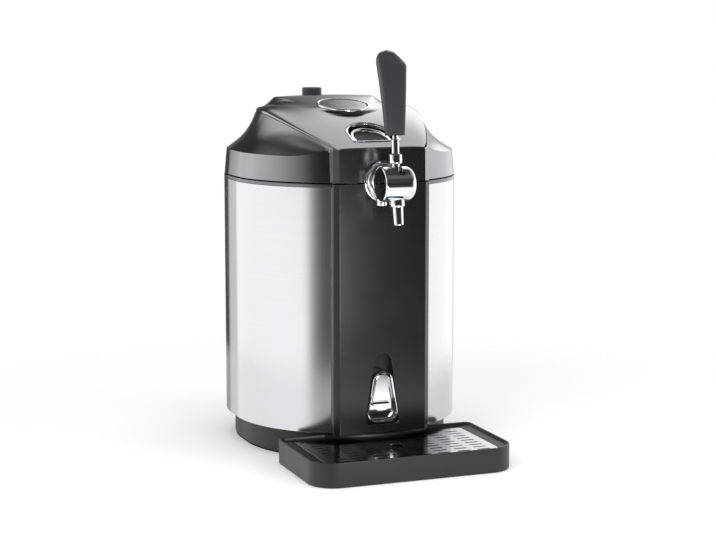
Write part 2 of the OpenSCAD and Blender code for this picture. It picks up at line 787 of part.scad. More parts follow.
// ---- Lid shell: collar and shoulders ----
// Each entry is the collar point, its top height and the seam point, front middle to rear middle
function collar_top(a) = lid_z0 + collar_h + 8.5 * pow(max(0, (-a - 40) / (column_angle(0) - 40)), 2);
front_cells = 5;
function half_lines(inset, taper) = concat(
    [for (i = [0 : front_cells]) let (x = -panel_half * i / front_cells)
        [[x * (1 - 0.01 * inset), -panel_y + inset + taper * 0.4, cover_height(x, -seam_front)],
         [x * (1 - 0.01 * inset), -panel_y + inset + taper * 0.4 + 0.8, cover_height(x, -seam_front)]]],
    [[[-column_half + inset, -column_back + inset / 2 + taper * 0.4, lid_z0 + collar_h + 8.3],
      [-column_half + inset + 2.5, -column_back + inset / 2 + taper * 0.4 + 0.5, lid_z0 + collar_h + 8.6]]],
    [for (i = [0 : side_steps]) let (start = column_angle(inset + taper) - 0.2,
            a = -start + i * (90 + start) / side_steps, p = oval_point(inset + taper, a),
            ys = a < 0 ? -(seam_front - 8) * sin(-a) / sin(column_angle(0)) : seam_back * sin(a))
        [[p[0], p[1], collar_top(a)], [-seam_half(ys), ys, seam_height(ys)]]]);

function mirrored(list) = concat(list,
    [for (i = [len(list) - 2 : -1 : 1]) [-list[i][0], list[i][1], list[i][2]]]);
function rise(s) = 0.6 * s + 0.4 * pow(s, 4);
function shoulder_ring(lines, k, drop) = let (s = k / shoulder_levels)
    [for (l = lines) [l[0][0] + (l[1][0] - l[0][0]) * s, l[0][1] + (l[1][1] - l[0][1]) * s,
        l[0][2] + (l[1][2] - l[0][2]) * rise(s) - drop]];

// Closed band through rings: the last ring joins the first
module band(rings) {
    n = len(rings[0]);
    m = len(rings);
    polyhedron(points = [for (ring = rings, p = ring) p],
        faces = concat(
            [for (k = [0 : m - 1], i = [0 : n - 1]) let (up = ((k + 1) % m) * n)
                [k * n + i, up + i, up + (i + 1) % n]],
            [for (k = [0 : m - 1], i = [0 : n - 1]) let (up = ((k + 1) % m) * n)
                [k * n + i, up + (i + 1) % n, k * n + (i + 1) % n]]));
}

collar_inset = 0.5;
seam_edge = 3.6;
shank_slot_r = 16.5;
module lid_shell() {
    low = half_lines(collar_inset, 0);
    high = half_lines(collar_inset, collar_taper);
    low_in = half_lines(collar_inset + lid_wall, 0);
    high_in = half_lines(collar_inset + lid_wall, collar_taper);
    inner = [for (i = [0 : len(high) - 1]) [high_in[i][0], high[i][1]]];
    color(satin_black) difference() {
        band(concat([mirrored([for (l = low) [l[0][0], l[0][1], lid_z0]])],
            [for (k = [0 : shoulder_levels]) mirrored(shoulder_ring(high, k, 0))],
            [for (k = [shoulder_levels : -1 : 0]) mirrored(shoulder_ring(inner, k, seam_edge))],
            [mirrored([for (l = low_in) [l[0][0], l[0][1], lid_z0]])]));
        translate([0, -panel_y - 5, tap_z]) rotate([-90, 0, 0]) cylinder(r = shank_slot_r, h = 30);
        translate([-shank_slot_r, -panel_y - 5, tap_z - 20]) cube([2 * shank_slot_r, 30, 20]);
        for (s = [-1, 1]) translate([s * hinge_x - knuckle_half - 0.4, 100, lid_z0 - 1])
            cube([2 * knuckle_half + 0.8, 80, arm_z - lid_z0 + arm_t + 1.3]);
    }
}

// ---- Cover with its raised island ----
cover_t = 3;
cover_gap = 0.4;
cover_front = -panel_y + 2.7;
cover_rear = seam_back - 0.8;
function cover_edge(y) = min(seam_half(y), panel_half - 0.6 + (y + panel_y - 2.3) * 0.65) - cover_gap;

function cover_columns(y) = let (we = cover_edge(y), raised = y > -46.6 && y < 112.3,
        wt = raised ? max(4, top_half(y)) : y < 0 ? 11 : 0.3 * we,
        wf = raised ? max(wt + 2, foot_half(y)) : y < 0 ? 17 : 0.6 * we,
        half = concat([0, wt / 2, wt], [for (i = [1 : 4]) wt + (wf - wt) * i / 4],
            [for (f = [0.3, 0.55, 0.75, 0.88, 0.96, 1]) wf + (we - wf) * f]))
    concat([for (i = [len(half) - 1 : -1 : 1]) -half[i]], half);

cover_rows = concat([cover_front], [for (i = [1 : 9]) cover_front + i * (-50 - cover_front) / 9],
    [-49.2, -46.5, -42, -36], [for (y = [-29 : 9 : 106]) y], [112, 114, 118, 122, 125, cover_rear]);

module cover_solid() {
    top = [for (y = cover_rows) [for (x = cover_columns(y)) [x, y, lid_height(x, y)]]];
    n = len(top[0]);
    m = len(top);
    loft([for (row = top)
        concat(row, [for (i = [n - 1 : -1 : 0]) [row[i][0], row[i][1], row[i][2] - cover_t]])]);
}

display_y = -15;
display_tilt = 9.7;
display_r = 31.3;
module at_display() {
    translate([0, display_y, hump_height(display_y) - 0.4]) rotate([display_tilt, 0, 0]) children();
}

latch_y = -100;
latch_half = 29;
latch_up = cover_height(0, latch_y + 27);
latch_down = cover_height(0, latch_y - 26);
latch_tilt = atan((latch_up - latch_down) / 53);
module at_latch() {
    translate([0, latch_y, (latch_up + latch_down) / 2]) rotate([latch_tilt, 0, 0]) children();
}

// Arched outline of the latch recess, grown by g
latch_low = -27;
latch_arch = 34;
latch_mid = -6;
module latch_outline(g) {
    c = 4;
    polygon(concat(
        [for (a = [0 : 9 : 180]) [(latch_half + g) * cos(a), latch_mid + (latch_arch + g) * sin(a)]],
        [for (a = [180 : 30 : 270]) [-latch_half - g + c + c * cos(a), latch_low - g + c + c * sin(a)]],
        [for (a = [270 : 30 : 360]) [latch_half + g - c + c * cos(a), latch_low - g + c + c * sin(a)]]));
}

knob_y = hump_rear - 22;
spindle_bore_r = 5;
module lid_cover() {
    color(satin_black) difference() {
        cover_solid();
        at_display() translate([0, 0, -30]) cylinder(r = display_r + fit_gap, h = 60);
        at_latch() translate([0, 0, -12]) linear_extrude(40) latch_outline(fit_gap);
        translate([0, knob_y, knob_seat - 25]) cylinder(r = spindle_bore_r, h = 40);
        translate([0, knob_y, knob_seat]) cylinder(r = knob_r + move_gap, h = 20);
    }
}

rim_w = 2.8;
module display_rim() {
    color(chrome) at_display() difference() {
        translate([0, 0, -5]) cylinder(r = display_r, h = 5.9);
        translate([0, 0, -2.2]) cylinder(r = display_r - rim_w, h = 10);
        translate([0, 0, -6]) cylinder(r = display_r - rim_w - 3, h = 10);
    }
}

module display_window() {
    color("#0c0c0d") at_display() translate([0, 0, -2.2 + 0.05])
        cylinder(r = display_r - rim_w - fit_gap / 2, h = 2.9);
}

module touch_board() {
    r = display_r - rim_w - 3 - fit_gap;
    at_display() {
        color("#2f5d3a") translate([0, 0, -6.2]) cylinder(r = r, h = 1.6);
        color("#dddddd") translate([0, 0, -4.7]) cylinder(r = r - 4, h = 2.5);
    }
}

module latch_bezel() {
    color(chrome) at_latch() translate([0, 0, -3]) linear_extrude(4) difference() {
        latch_outline(0);
        latch_outline(-3.2);
    }
}

pocket_depth = 19;
module latch_pocket() {
    color(black) at_latch() difference() {
        translate([0, 0, -pocket_depth]) linear_extrude(pocket_depth - 3.05) latch_outline(-0.4);
        translate([0, 0, -pocket_depth + 2]) linear_extrude(pocket_depth) latch_outline(-2.6);
        translate([0, latch_low + 8, -11]) along_x(-latch_half - 1, latch_half + 1, 1.55);
    }
}

latch_pivot = [latch_low + 8, -11];
module latch_paddle() {
    color(chrome) at_latch() difference() {
        union() {
            translate([0, 0, -8]) linear_extrude(4.5) difference() {
                latch_outline(-6.5);
                latch_outline(-10.5);
            }
            translate([0, 0, -9.6]) linear_extrude(1.7) latch_outline(-6.5);
            translate([0, latch_pivot[0], latch_pivot[1]]) along_x(-latch_half + 3.6, latch_half - 3.6, 2.6);
            translate([0, latch_pivot[0], latch_pivot[1]]) along_x(-latch_half + 1.2, latch_half - 1.2, 1.5);
        }
    }
}

// ---- Inside of the lid ----
liner_t = 2;
cup_top = lid_top_z - 55.6;
cup_r = 70;
liner_z = seam_z + 1;
module lid_liner() {
    color("#d8d8d6") difference() {
        union() {
            at_z(liner_z, liner_t) difference() {
                oval(collar_inset + lid_wall + 0.5);
                flat_cut(panel_y - collar_inset - lid_wall - 0.6, -1);
                translate([-28, -big]) square([56, big - 103]);
                for (side = [-1, 1]) translate([side > 0 ? column_half - 5 : -big - column_half + 5, -big])
                    square([big, big - 124]);
            }
            translate([0, tub_y, liner_z])
                cylinder(r1 = tub_r + 2, r2 = cup_r, h = cup_top - liner_z, $fn = 96);
        }
        translate([0, tub_y, liner_z - 0.01])
            cylinder(r1 = tub_r, r2 = cup_r - liner_t, h = cup_top - liner_z - liner_t, $fn = 96);
        for (s = [-1, 1]) translate([s * hinge_x, arm_screw_y, 0]) cylinder(r = screw_r + fit_gap, h = big);
    }
}

module lid_foam() {
    foam_h = 16;
    color(foam_white) difference() {
        at_z(liner_z + liner_t + fit_gap, foam_h) oval(20);
        translate([0, tub_y, 0]) cylinder(r = tub_r + 2.5, h = big, $fn = 96);
        at_z(0, big) flat_cut(100, -1);
        at_z(0, big) flat_cut(70, 1);
    }
}

module lid_gasket() {
    color("#202020") translate([0, tub_y, 0]) rotate_extrude($fn = 96)
        translate([tub_r + 1, rim_z1 + 0.3]) square([4, liner_z - rim_z1 - 0.4]);
}

module latch_keeper() {
    color(steel) for (s = [-1, 1]) translate([s * 36 - 6, -panel_y + wall_t + fit_gap / 2, rim_z1 + 0.1])
        cube([12, 3, seam_z - rim_z1 - 0.6]);
}

// ---- Gas regulator ----
regulator_r = 12.5;
regulator_neck_r = 10;
regulator_top = hump_height(knob_y + regulator_neck_r) - cover_t - 0.5;
spindle_len = 18;
module regulator_body() {
    color(steel) translate([0, knob_y, 0]) difference() {
        union() {
            translate([0, 0, liner_z + liner_t + 0.1])
                cylinder(r = regulator_r, h = regulator_top - 12 - liner_z - liner_t);
            translate([0, 0, regulator_top - 13]) cylinder(r = regulator_neck_r, h = 13);
        }
        translate([0, 0, regulator_top - 10]) cylinder(r = 3 + pin_gap, h = 20);
    }
}

module regulator_spindle() {
    color(steel) translate([0, knob_y, regulator_top - 9.5]) cylinder(r = 3, h = spindle_len);
}

knob_r = 12;
knob_h = 10.6;
knob_seat = hump_height(knob_y) - 0.3;
knob_z = knob_seat + move_gap;
module regulator_knob() {
    ribs = 36;
    color(black) translate([0, knob_y, knob_z]) difference() {
        union() {
            cylinder(r = knob_r - 0.7, h = knob_h);
            translate([0, 0, 1]) linear_extrude(knob_h - 2) for (i = [0 : ribs - 1]) rotate(i * 360 / ribs)
                translate([knob_r - 1.2, -0.45]) square([1.2, 0.9]);
        }
        translate([0, 0, -1]) cylinder(r = 3, h = regulator_top - 9.5 + spindle_len - knob_z + 1.05);
    }
}

// ---- Drip tray ----
tray_back = panel_y - 24;
plinth_gap = 1.2;
tray_floor = 2.4;
rear_corner = 8;
// Plan of the tray, drawn in at its sides, at its front and at its rear
module tray_plan(side, front, rear) {
    h = tray_half - side;
    y = -tray_front + front;
    r = tray_corner - max(side, front);
    k = max(1, rear_corner - rear);
    back = -tray_back - rear - k;
    difference() {
        polygon(concat([for (a = [90 : 15 : 180]) [-h + k + k * cos(a), back + k * sin(a)]],
            [for (a = [180 : 10 : 270]) [-h + r + r * cos(a), y + r + r * sin(a)]],
            [for (a = [270 : 10 : 360]) [h - r + r * cos(a), y + r + r * sin(a)]],
            [for (a = [0 : 15 : 90]) [h - k + k * cos(a), back + k * sin(a)]]));
        oval(plinth_inset - plinth_gap - rear);
    }
}

rail_x = 70;
rail_z = 10;
rail_w = 8;
rail_h = 4;
rail_front = panel_y + 8;
module tray_rails() {
    color(black) for (s = [-1, 1]) difference() {
        translate([s * rail_x - rail_w / 2, -rail_front, rail_z]) cube([rail_w, 60, rail_h]);
        at_z(0, big) oval(plinth_inset);
    }
}

// Ledge round the grid, the seat that the grid lies on and the posts under it
ledge_side = 16;
ledge_front = 8;
ledge_rear = 3.5;
ledge_z = tray_h - 3.2;
seat_w = 2.5;
grid_t = 1.6;
grid_z = tray_h - 5;
post_x = 84;
post_r = 4;
post_rear = panel_y + 18;
post_spots = [[-post_x, -tray_front + 18], [0, -tray_front + 15], [post_x, -tray_front + 18],
    [-post_x, -post_rear], [post_x, -post_rear], [-post_x / 2, -post_rear], [post_x / 2, -post_rear]];
module drip_tray() {
    guide_w = rail_w + 1.2;
    guide_h = rail_z + rail_h + 0.6;
    color(black) difference() {
        union() {
            difference() {
                at_z(0, tray_h) tray_plan(0, 0, 0);
                at_z(ledge_z, big) tray_plan(tray_t, tray_t, tray_t);
                at_z(grid_z, big) tray_plan(ledge_side, ledge_front, ledge_rear);
                at_z(tray_floor, big)
                    tray_plan(ledge_side + seat_w, ledge_front + seat_w, ledge_rear + seat_w);
                // hollow under the ledge, open below
                at_z(-1, ledge_z - tray_floor + 1) difference() {
                    tray_plan(tray_t, tray_t, ledge_rear + seat_w);
                    tray_plan(ledge_side, ledge_front, -20);
                }
            }
            for (p = post_spots) translate([p[0], p[1], tray_floor - 0.5])
                cylinder(r = post_r, h = grid_z - tray_floor + 0.5);
            // covers over the grooves that the rails lie in
            for (s = [-1, 1])
                translate([s * rail_x - guide_w / 2 - tray_floor, -rail_front - tray_floor - 1, 0])
                    cube([guide_w + 2 * tray_floor, rail_front - tray_back - 2, guide_h + tray_floor]);
        }
        for (s = [-1, 1]) translate([s * rail_x - guide_w / 2, -rail_front - 1, -1])
            cube([guide_w, rail_front, guide_h + 1]);
    }
}

slot_l = 16;
slot_w = 3;
slot_pitch_x = 24;
slot_pitch_y = 11;
slot_columns = 8;
slot_rows = 9;
slot_margin = 16;
slot_front = tray_front - slot_margin;
drain_r = 7;
drain_y = -tap_y - 4;
module drip_grid() {
    color("#8d8f92") difference() {
        at_z(grid_z + 0.05, grid_t)
            tray_plan(ledge_side + move_gap, ledge_front + move_gap, ledge_rear + move_gap);
        at_z(grid_z - 1, grid_t + 2) {
            for (i = [0 : slot_columns - 1], j = [0 : slot_rows - 1])
                let (x = (i - (slot_columns - 1) / 2) * slot_pitch_x, y = -slot_front + j * slot_pitch_y)
                if (norm([x, y - drain_y]) > drain_r + slot_l / 2 + 2 || abs(y - drain_y) > drain_r + slot_w)
                    translate([x - slot_l / 2, y - slot_w / 2]) square([slot_l, slot_w]);
            translate([0, drain_y]) circle(r = drain_r);
        }
    }
}

plinth();
foot_ring();
base_screws();
chassis();
steel_skin_left();
steel_skin_right();
top_ring();
front_panel();
rear_cover();
rear_screws();
bottle_opener();
opener_screws();
foam_jacket();
keg_tub();
tub_rim();
cold_plate();
peltier_module();
heat_sink();
fan_frame();
fan_rotor();
control_board();
power_socket();
hinge_brackets();
hinge_pins();
latch_keeper();
tap_rosette();
tap_shank();
shank_nut();
tap_barrel();
barrel_cap();
tap_spout();
vent_lug();
tap_plug();
plug_seals();
lever_stem();
handle_grip();
line_elbow();
beer_line();
keg_coupler();
lid_shell();
lid_cover();
display_rim();
display_window();
touch_board();
lid_liner();
lid_foam();
lid_gasket();
lid_hinge_arms();
lid_screws();
latch_bezel();
latch_pocket();
latch_paddle();
regulator_body();
regulator_spindle();
regulator_knob();
tray_rails();
drip_tray();
drip_grid();
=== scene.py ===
"""Finished look of the mini keg beer dispenser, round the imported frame."""
import math

import bmesh
import bpy
from bpy.props import FloatProperty, FloatVectorProperty, IntProperty, PointerProperty
from mathutils import Matrix, Vector


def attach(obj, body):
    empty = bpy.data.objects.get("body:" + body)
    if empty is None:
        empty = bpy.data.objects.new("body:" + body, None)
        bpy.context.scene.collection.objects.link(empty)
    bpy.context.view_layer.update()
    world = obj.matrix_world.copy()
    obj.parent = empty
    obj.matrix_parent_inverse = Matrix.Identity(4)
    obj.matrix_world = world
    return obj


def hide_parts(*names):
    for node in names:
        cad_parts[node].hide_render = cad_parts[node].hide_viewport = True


bl_info = {
    "name": "Mini keg beer dispenser",
    "version": (1, 0, 0),
    "blender": (4, 5, 0),
    "location": "View3D > Sidebar > Dispenser",
    "description": "Builds the detailed pieces, finishes and studio of a mini keg beer dispenser",
    "category": "Object",
}

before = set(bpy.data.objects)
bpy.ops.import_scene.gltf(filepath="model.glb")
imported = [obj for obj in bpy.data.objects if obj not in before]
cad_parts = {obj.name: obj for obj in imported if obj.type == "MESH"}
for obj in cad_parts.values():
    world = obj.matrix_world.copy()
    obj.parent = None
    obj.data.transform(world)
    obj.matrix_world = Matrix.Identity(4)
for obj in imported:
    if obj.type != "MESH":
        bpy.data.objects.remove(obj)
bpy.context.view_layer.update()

MM = 0.001
# corners closer than this, in millimetres, are merged
MERGE = 0.0005
SMOOTH_ANGLE = math.radians(32)


def linear(code):
    """Linear colour of an sRGB hex code."""
    parts = [int(code[i:i + 2], 16) / 255 for i in (0, 2, 4)]
    return tuple(c / 12.92 if c <= 0.04045 else ((c + 0.055) / 1.055) ** 2.4 for c in parts) + (1.0,)


def length(name, text, default, low=0.0, high=600.0):
    """Property for a size in millimetres."""
    return FloatProperty(name=name, description=text, default=default, min=low, max=high, unit="NONE")


def colour(name, text, code):
    """Property for a colour, from its sRGB hex code."""
    return FloatVectorProperty(name=name, description=text, subtype="COLOR", size=4, min=0, max=1,
                               default=linear(code))


class DispenserHousing(bpy.types.PropertyGroup):
    """Sizes of the housing in millimetres."""
    radius: length("Oval radius", "Radius of the two half circles of the plan", 132.36)
    shift: length("Oval shift", "Distance of each half circle's centre from the middle", 12.5)
    seam: length("Seam height", "Height of the seam between the housing and the lid", 316)
    plinth_top: length("Plinth height", "Height of the plinth", 31)
    plinth_inset: length("Plinth inset", "How far the plinth stands in from the steel", 10.5)
    panel_half: length("Panel half width", "Half width of the flat front panel", 52)
    panel_y: length("Panel distance", "Distance of the front panel from the middle", 142)
    facet_w: length("Facet width", "Width of the slanted edge beside the panel", 6.5)
    facet_d: length("Facet depth", "Depth of the slanted edge beside the panel", 4.5)
    rear_y: length("Rear distance", "Distance of the rear cover from the middle", 141)
    opener_z: length("Opener height", "Height of the lower edge of the opener recess", 40)


class DispenserLid(bpy.types.PropertyGroup):
    """Sizes of the lid in millimetres."""
    collar: length("Collar height", "Height of the upright collar", 29)
    shoulder: length("Shoulder height", "Height of the cover's side seam", 387.5)
    half: length("Cover half width", "Half width of the cover at its widest", 95)
    top: length("Lid top", "Greatest height of the lid", 405.6)
    knob_y: length("Knob place", "Distance of the pressure knob behind the middle", 94)
    rows: IntProperty(name="Rows", description="Rows of faces along the cover", default=150, min=40, max=300)


class DispenserTap(bpy.types.PropertyGroup):
    """Sizes of the tap in millimetres."""
    y: length("Tap distance", "Distance of the tap barrel from the middle", 180)
    z: length("Tap height", "Height of the tap's centre", 317.5)
    barrel_r: length("Barrel radius", "Radius of the tap barrel", 19.5)
    barrel_l: length("Barrel length", "Length of the tap barrel", 38)
    rosette_r: length("Rosette radius", "Radius of the rosette on the panel", 23.5)
    grip_h: length("Grip height", "Height of the handle grip", 94)
    spout_l: length("Spout length", "Length of the spout tube", 21)


class DispenserTray(bpy.types.PropertyGroup):
    """Sizes of the drip tray in millimetres."""
    half: length("Tray half width", "Half width of the drip tray", 119)
    front: length("Tray front", "Distance of the tray's front from the middle", 250)
    height: length("Tray height", "Height of the drip tray", 28)
    corner: length("Tray corner", "Radius of the front corners", 30)
    back: length("Tray back", "Distance of the tray's rear edge from the middle", 118)


class DispenserColours(bpy.types.PropertyGroup):
    """Colours of the finishes."""
    steel: colour("Steel", "Brushed stainless steel", "c6c7c9")
    lacquer: colour("Lacquer", "Gunmetal lacquer of the lid", "8f9092")
    panel: colour("Panel", "Satin black of the front column", "131415")
    base: colour("Base", "Plain black mouldings", "141415")
    ring: colour("Ring", "Grey trim ring", "727376")
    chrome: colour("Chrome", "Polished chrome plating", "eceef0")
    grip: colour("Grip", "Satin black of the grip", "3c3d40")
    knob: colour("Knob", "Dark ribbed knob", "54565a")
    grid: colour("Grid", "Polished steel of the drip grid", "a4a6a9")
    tray: colour("Tray", "Black of the drip tray", "202123")
    liner: colour("Liner", "Pale inner mouldings", "dcdcd8")


# ---- Meshes: every helper works in millimetres ----

def placed(bm, matrix, make, *values):
    """Makes a shape and moves only that shape."""
    known = set(bm.verts)
    make(bm, *values)
    bmesh.ops.transform(bm, matrix=matrix, verts=[v for v in bm.verts if v not in known])


def shape(make, *values, at=None):
    """New mesh in the making with one shape in it, moved by a matrix if one is given."""
    bm = bmesh.new()
    placed(bm, at or Matrix(), make, *values)
    return bm


def tube(bm, rings, closed=False):
    """Skin drawn from loop to loop of equal counts, closed on itself or capped at its ends."""
    verts = [bm.verts.new(p) for p in rings[0]]
    edges = [bm.edges.new(pair) for pair in zip(verts, verts[1:] + verts[:1])]
    if not closed:
        bmesh.ops.contextual_create(bm, geom=edges)
    for points in rings[1:] + (rings[:1] if closed else []):
        drawn = bmesh.ops.extrude_edge_only(bm, edges=edges)
        fresh = {g for g in drawn["geom"] if isinstance(g, bmesh.types.BMVert)}
        verts = [next(e.other_vert(v) for e in v.link_edges if e.other_vert(v) in fresh) for v in verts]
        for vert, point in zip(verts, points):
            vert.co = point
        edges = [bm.edges.get(pair) for pair in zip(verts, verts[1:] + verts[:1])]
    if not closed:
        bmesh.ops.contextual_create(bm, geom=edges)


def stack(bm, outline, levels, closed=False):
    """Skin through one outline, drawn at several insets and heights."""
    tube(bm, [[(x, y, z) for x, y in outline(inset)] for inset, z in levels], closed)


def prism(bm, outline, z0, z1):
    """Solid with a flat outline."""
    face = bm.faces.new([bm.verts.new((x, y, z0)) for x, y in outline])
    raised = bmesh.ops.extrude_face_region(bm, geom=[face])
    top = [g for g in raised["geom"] if isinstance(g, bmesh.types.BMVert)]
    bmesh.ops.translate(bm, vec=(0, 0, z1 - z0), verts=top)


def rod(radius, low, high):
    """Profile of a plain rod."""
    return [(0, low), (radius, low), (radius, high), (0, high)]


def turned(bm, profile, steps=64, closed=False):
    """Body turned round Z from a profile of radii and heights."""
    verts = [bm.verts.new((r, 0, h)) for r, h in profile]
    edges = [bm.edges.new(pair) for pair in zip(verts, verts[1:] + (verts[:1] if closed else []))]
    bmesh.ops.spin(bm, geom=verts + edges, cent=(0, 0, 0), axis=(0, 0, 1), dvec=(0, 0, 0),
                   angle=math.tau, steps=steps, use_merge=True, use_duplicate=False)
    bmesh.ops.remove_doubles(bm, verts=bm.verts, dist=MERGE)


def block(bm, low, high):
    """Box between two corners."""
    size = [b - a for a, b in zip(low, high)]
    bmesh.ops.create_cube(bm, size=1, matrix=shifted(*((a + b) / 2 for a, b in zip(low, high)))
                          @ Matrix.Diagonal((*size, 1)))


def shifted(x, y, z):
    """Frame moved to a place."""
    return Matrix.Translation((x, y, z))


def soften(bm, width, segments=2, angle=30, where=None):
    """Bevels the edges that turn by more than an angle."""
    bmesh.ops.remove_doubles(bm, verts=bm.verts, dist=MERGE)
    bmesh.ops.recalc_face_normals(bm, faces=bm.faces)
    edges = [e for e in bm.edges if len(e.link_faces) == 2
             and e.calc_face_angle(0) > math.radians(angle)
             and (where is None or where((e.verts[0].co + e.verts[1].co) / 2))]
    bmesh.ops.bevel(bm, geom=edges, offset=width, offset_type="OFFSET", affect="EDGES", segments=segments,
                    profile=0.5, material=-1, clamp_overlap=True)


def to_mesh(bm, name):
    """Mesh in metres, with its doubles merged and its faces outwards."""
    bmesh.ops.remove_doubles(bm, verts=bm.verts, dist=MERGE)
    bmesh.ops.recalc_face_normals(bm, faces=bm.faces)
    bmesh.ops.scale(bm, vec=(MM, MM, MM), verts=bm.verts)
    mesh = bpy.data.meshes.new(name)
    bm.to_mesh(mesh)
    bm.free()
    return mesh


def carve(body, *cutters, operation="DIFFERENCE"):
    """Mesh of a body with closed shapes cut out of it or joined to it, one after the other."""
    mesh = to_mesh(body, "carved") if isinstance(body, bmesh.types.BMesh) else body
    for cutter in cutters:
        objects = [bpy.data.objects.new("work", m) for m in (mesh, to_mesh(cutter, "cutter"))]
        for item in objects:
            bpy.context.scene.collection.objects.link(item)
        cut = objects[0].modifiers.new("cut", "BOOLEAN")
        cut.operation = operation
        cut.solver = "EXACT"
        cut.object = objects[1]
        graph = bpy.context.evaluated_depsgraph_get()
        mesh = bpy.data.meshes.new_from_object(objects[0].evaluated_get(graph))
        for item in objects:
            old = item.data
            bpy.data.objects.remove(item)
            bpy.data.meshes.remove(old)
    return mesh


def reshape(mesh, change):
    """Runs a change in millimetres on a mesh that has been carved."""
    bm = bmesh.new()
    bm.from_mesh(mesh)
    bmesh.ops.scale(bm, vec=(1 / MM,) * 3, verts=bm.verts)
    change(bm)
    bpy.data.meshes.remove(mesh)
    return to_mesh(bm, "reshaped")


def piece(name, body_shape, key, body, *nodes, angle=SMOOTH_ANGLE):
    """Finished piece that rides on a body and stands for CAD nodes."""
    mesh = to_mesh(body_shape, name) if isinstance(body_shape, bmesh.types.BMesh) else body_shape
    mesh.name = name
    mesh.materials.clear()
    mesh.materials.append(finish(key))
    mesh.shade_smooth()
    mesh.set_sharp_from_angle(angle=angle)
    item = bpy.data.objects.new(name, mesh)
    bpy.context.scene.collection.objects.link(item)
    # broad faces keep their own direction beside their narrow rounded edges
    even = item.modifiers.new("even normals", "WEIGHTED_NORMAL")
    even.keep_sharp = True
    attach(item, body)
    if nodes:
        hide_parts(*nodes)


def spread(low, high, count):
    """Evenly spaced values from low to high."""
    return [low + (high - low) * i / (count - 1) for i in range(count)]


def arc(cx, cy, r, a0, a1, count):
    """Points on an arc, with its angles in degrees."""
    return [(cx + r * math.cos(math.radians(a)), cy + r * math.sin(math.radians(a)))
            for a in spread(a0, a1, count)]


def rounded(points, radius, count=6):
    """Outline with its corners rounded by one radius or a list of radii."""
    radii = radius if isinstance(radius, (list, tuple)) else [radius] * len(points)
    result = []
    for i, (corner, r) in enumerate(zip(points, radii)):
        if r <= 0:
            result.append(tuple(corner))
            continue
        c = Vector(corner)
        a = (Vector(points[i - 1]) - c).normalized()
        b = (Vector(points[(i + 1) % len(points)]) - c).normalized()
        half = a.angle(b) / 2
        centre = c + (a + b).normalized() * (r / math.sin(half))
        first = c + a * (r / math.tan(half)) - centre
        last = c + b * (r / math.tan(half)) - centre
        turn = first.angle_signed(last)
        result += [tuple(centre + Matrix.Rotation(-turn * k / (count - 1), 2) @ first) for k in range(count)]
    return result


def settings():
    """The scene's property groups."""
    return bpy.context.scene.dispenser


# ---- Finishes ----

def add_node(tree, kind, inputs=None, **values):
    """Adds a node with its settings and constants, linked to the sockets or nodes that feed it."""
    node = tree.nodes.new("ShaderNode" + kind)
    for name, value in values.items():
        setattr(node, name, value)
    for name, value in (inputs or {}).items():
        if isinstance(value, bpy.types.Node):
            value = value.outputs[0]
        if isinstance(value, bpy.types.NodeSocket):
            tree.links.new(value, node.inputs[name])
        else:
            node.inputs[name].default_value = value
    return node


def finish_tree(name):
    """New material with an empty tree, and its object coordinates."""
    material = bpy.data.materials.new(name)
    material.use_nodes = True
    material.node_tree.nodes.clear()
    place = add_node(material.node_tree, "TexCoord").outputs["Object"]
    return material, material.node_tree, place


def tinted(tree, factor, base, dark, light):
    """Colour that wanders between a darker and a lighter tone of one base."""
    mix = add_node(tree, "Mix", {"Factor": factor.outputs[0]}, data_type="RGBA")
    mix.inputs["A"].default_value = [c * dark for c in base[:3]] + [1]
    mix.inputs["B"].default_value = [min(1, c * light) for c in base[:3]] + [1]
    return mix.outputs["Result"]


def shaded(tree, tone, relief, inputs, rough=None):
    """Principled surface: its colour, a relief in metres at full strength and a roughness that wanders."""
    height, strength, distance = relief
    inputs["Base Color"] = tone
    inputs["Normal"] = add_node(tree, "Bump", {"Height": height, "Strength": strength, "Distance": distance})
    if rough:
        haze, low, high = rough
        inputs["Roughness"] = add_node(tree, "MapRange", {"Value": haze, "To Min": low, "To Max": high})
    add_node(tree, "OutputMaterial", {"Surface": add_node(tree, "BsdfPrincipled", inputs)})


def moulded(name, base, roughness, grain_mm, depth, ior=1.5, metallic=0.0, coat=0.0, level=0.5):
    """Moulded or lacquered plastic: a fine spark-eroded grain, soft handling marks and a little tone."""
    material, tree, place = finish_tree(name)
    # grain of grain_mm, drawn as noise with one cell to each grain
    grain = add_node(tree, "TexNoise", {"Vector": place, "Scale": 1 / (grain_mm * MM), "Detail": 2.0})
    # marks of 30 mm or so, where hands and cloths have polished the surface
    marks = add_node(tree, "TexNoise", {"Vector": place, "Scale": 34.0, "Detail": 5.0, "Roughness": 0.6})
    shaded(tree, tinted(tree, marks, base, 0.93, 1.07), (grain, depth, 0.0002),
           {"Metallic": metallic, "IOR": ior, "Coat Weight": coat, "Coat Roughness": 0.12,
            "Specular IOR Level": level},
           (marks, roughness * 0.86, roughness * 1.14))
    return material


def brushed(name, base, roughness, lines, depth, spread_way):
    """Brushed metal: fine scratches along one way, which pull its highlights out across them."""
    material, tree, place = finish_tree(name)
    # the scratches are 0.25 mm apart, drawn by noise that is squeezed across them
    squeezed = add_node(tree, "Mapping", {"Vector": place, "Scale": lines})
    scratch = add_node(tree, "TexNoise", {"Vector": squeezed, "Scale": 1.0, "Detail": 3.0})
    cloud = add_node(tree, "TexNoise", {"Vector": place, "Scale": 9.0, "Detail": 3.0})
    tangent = add_node(tree, "Tangent", direction_type="RADIAL", axis="Z")
    shaded(tree, tinted(tree, scratch, base, 0.94, 1.04), (scratch, depth, 0.0001),
           {"Metallic": 1.0, "Anisotropic": spread_way, "Tangent": tangent},
           (cloud, roughness * 0.85, roughness * 1.2))
    return material


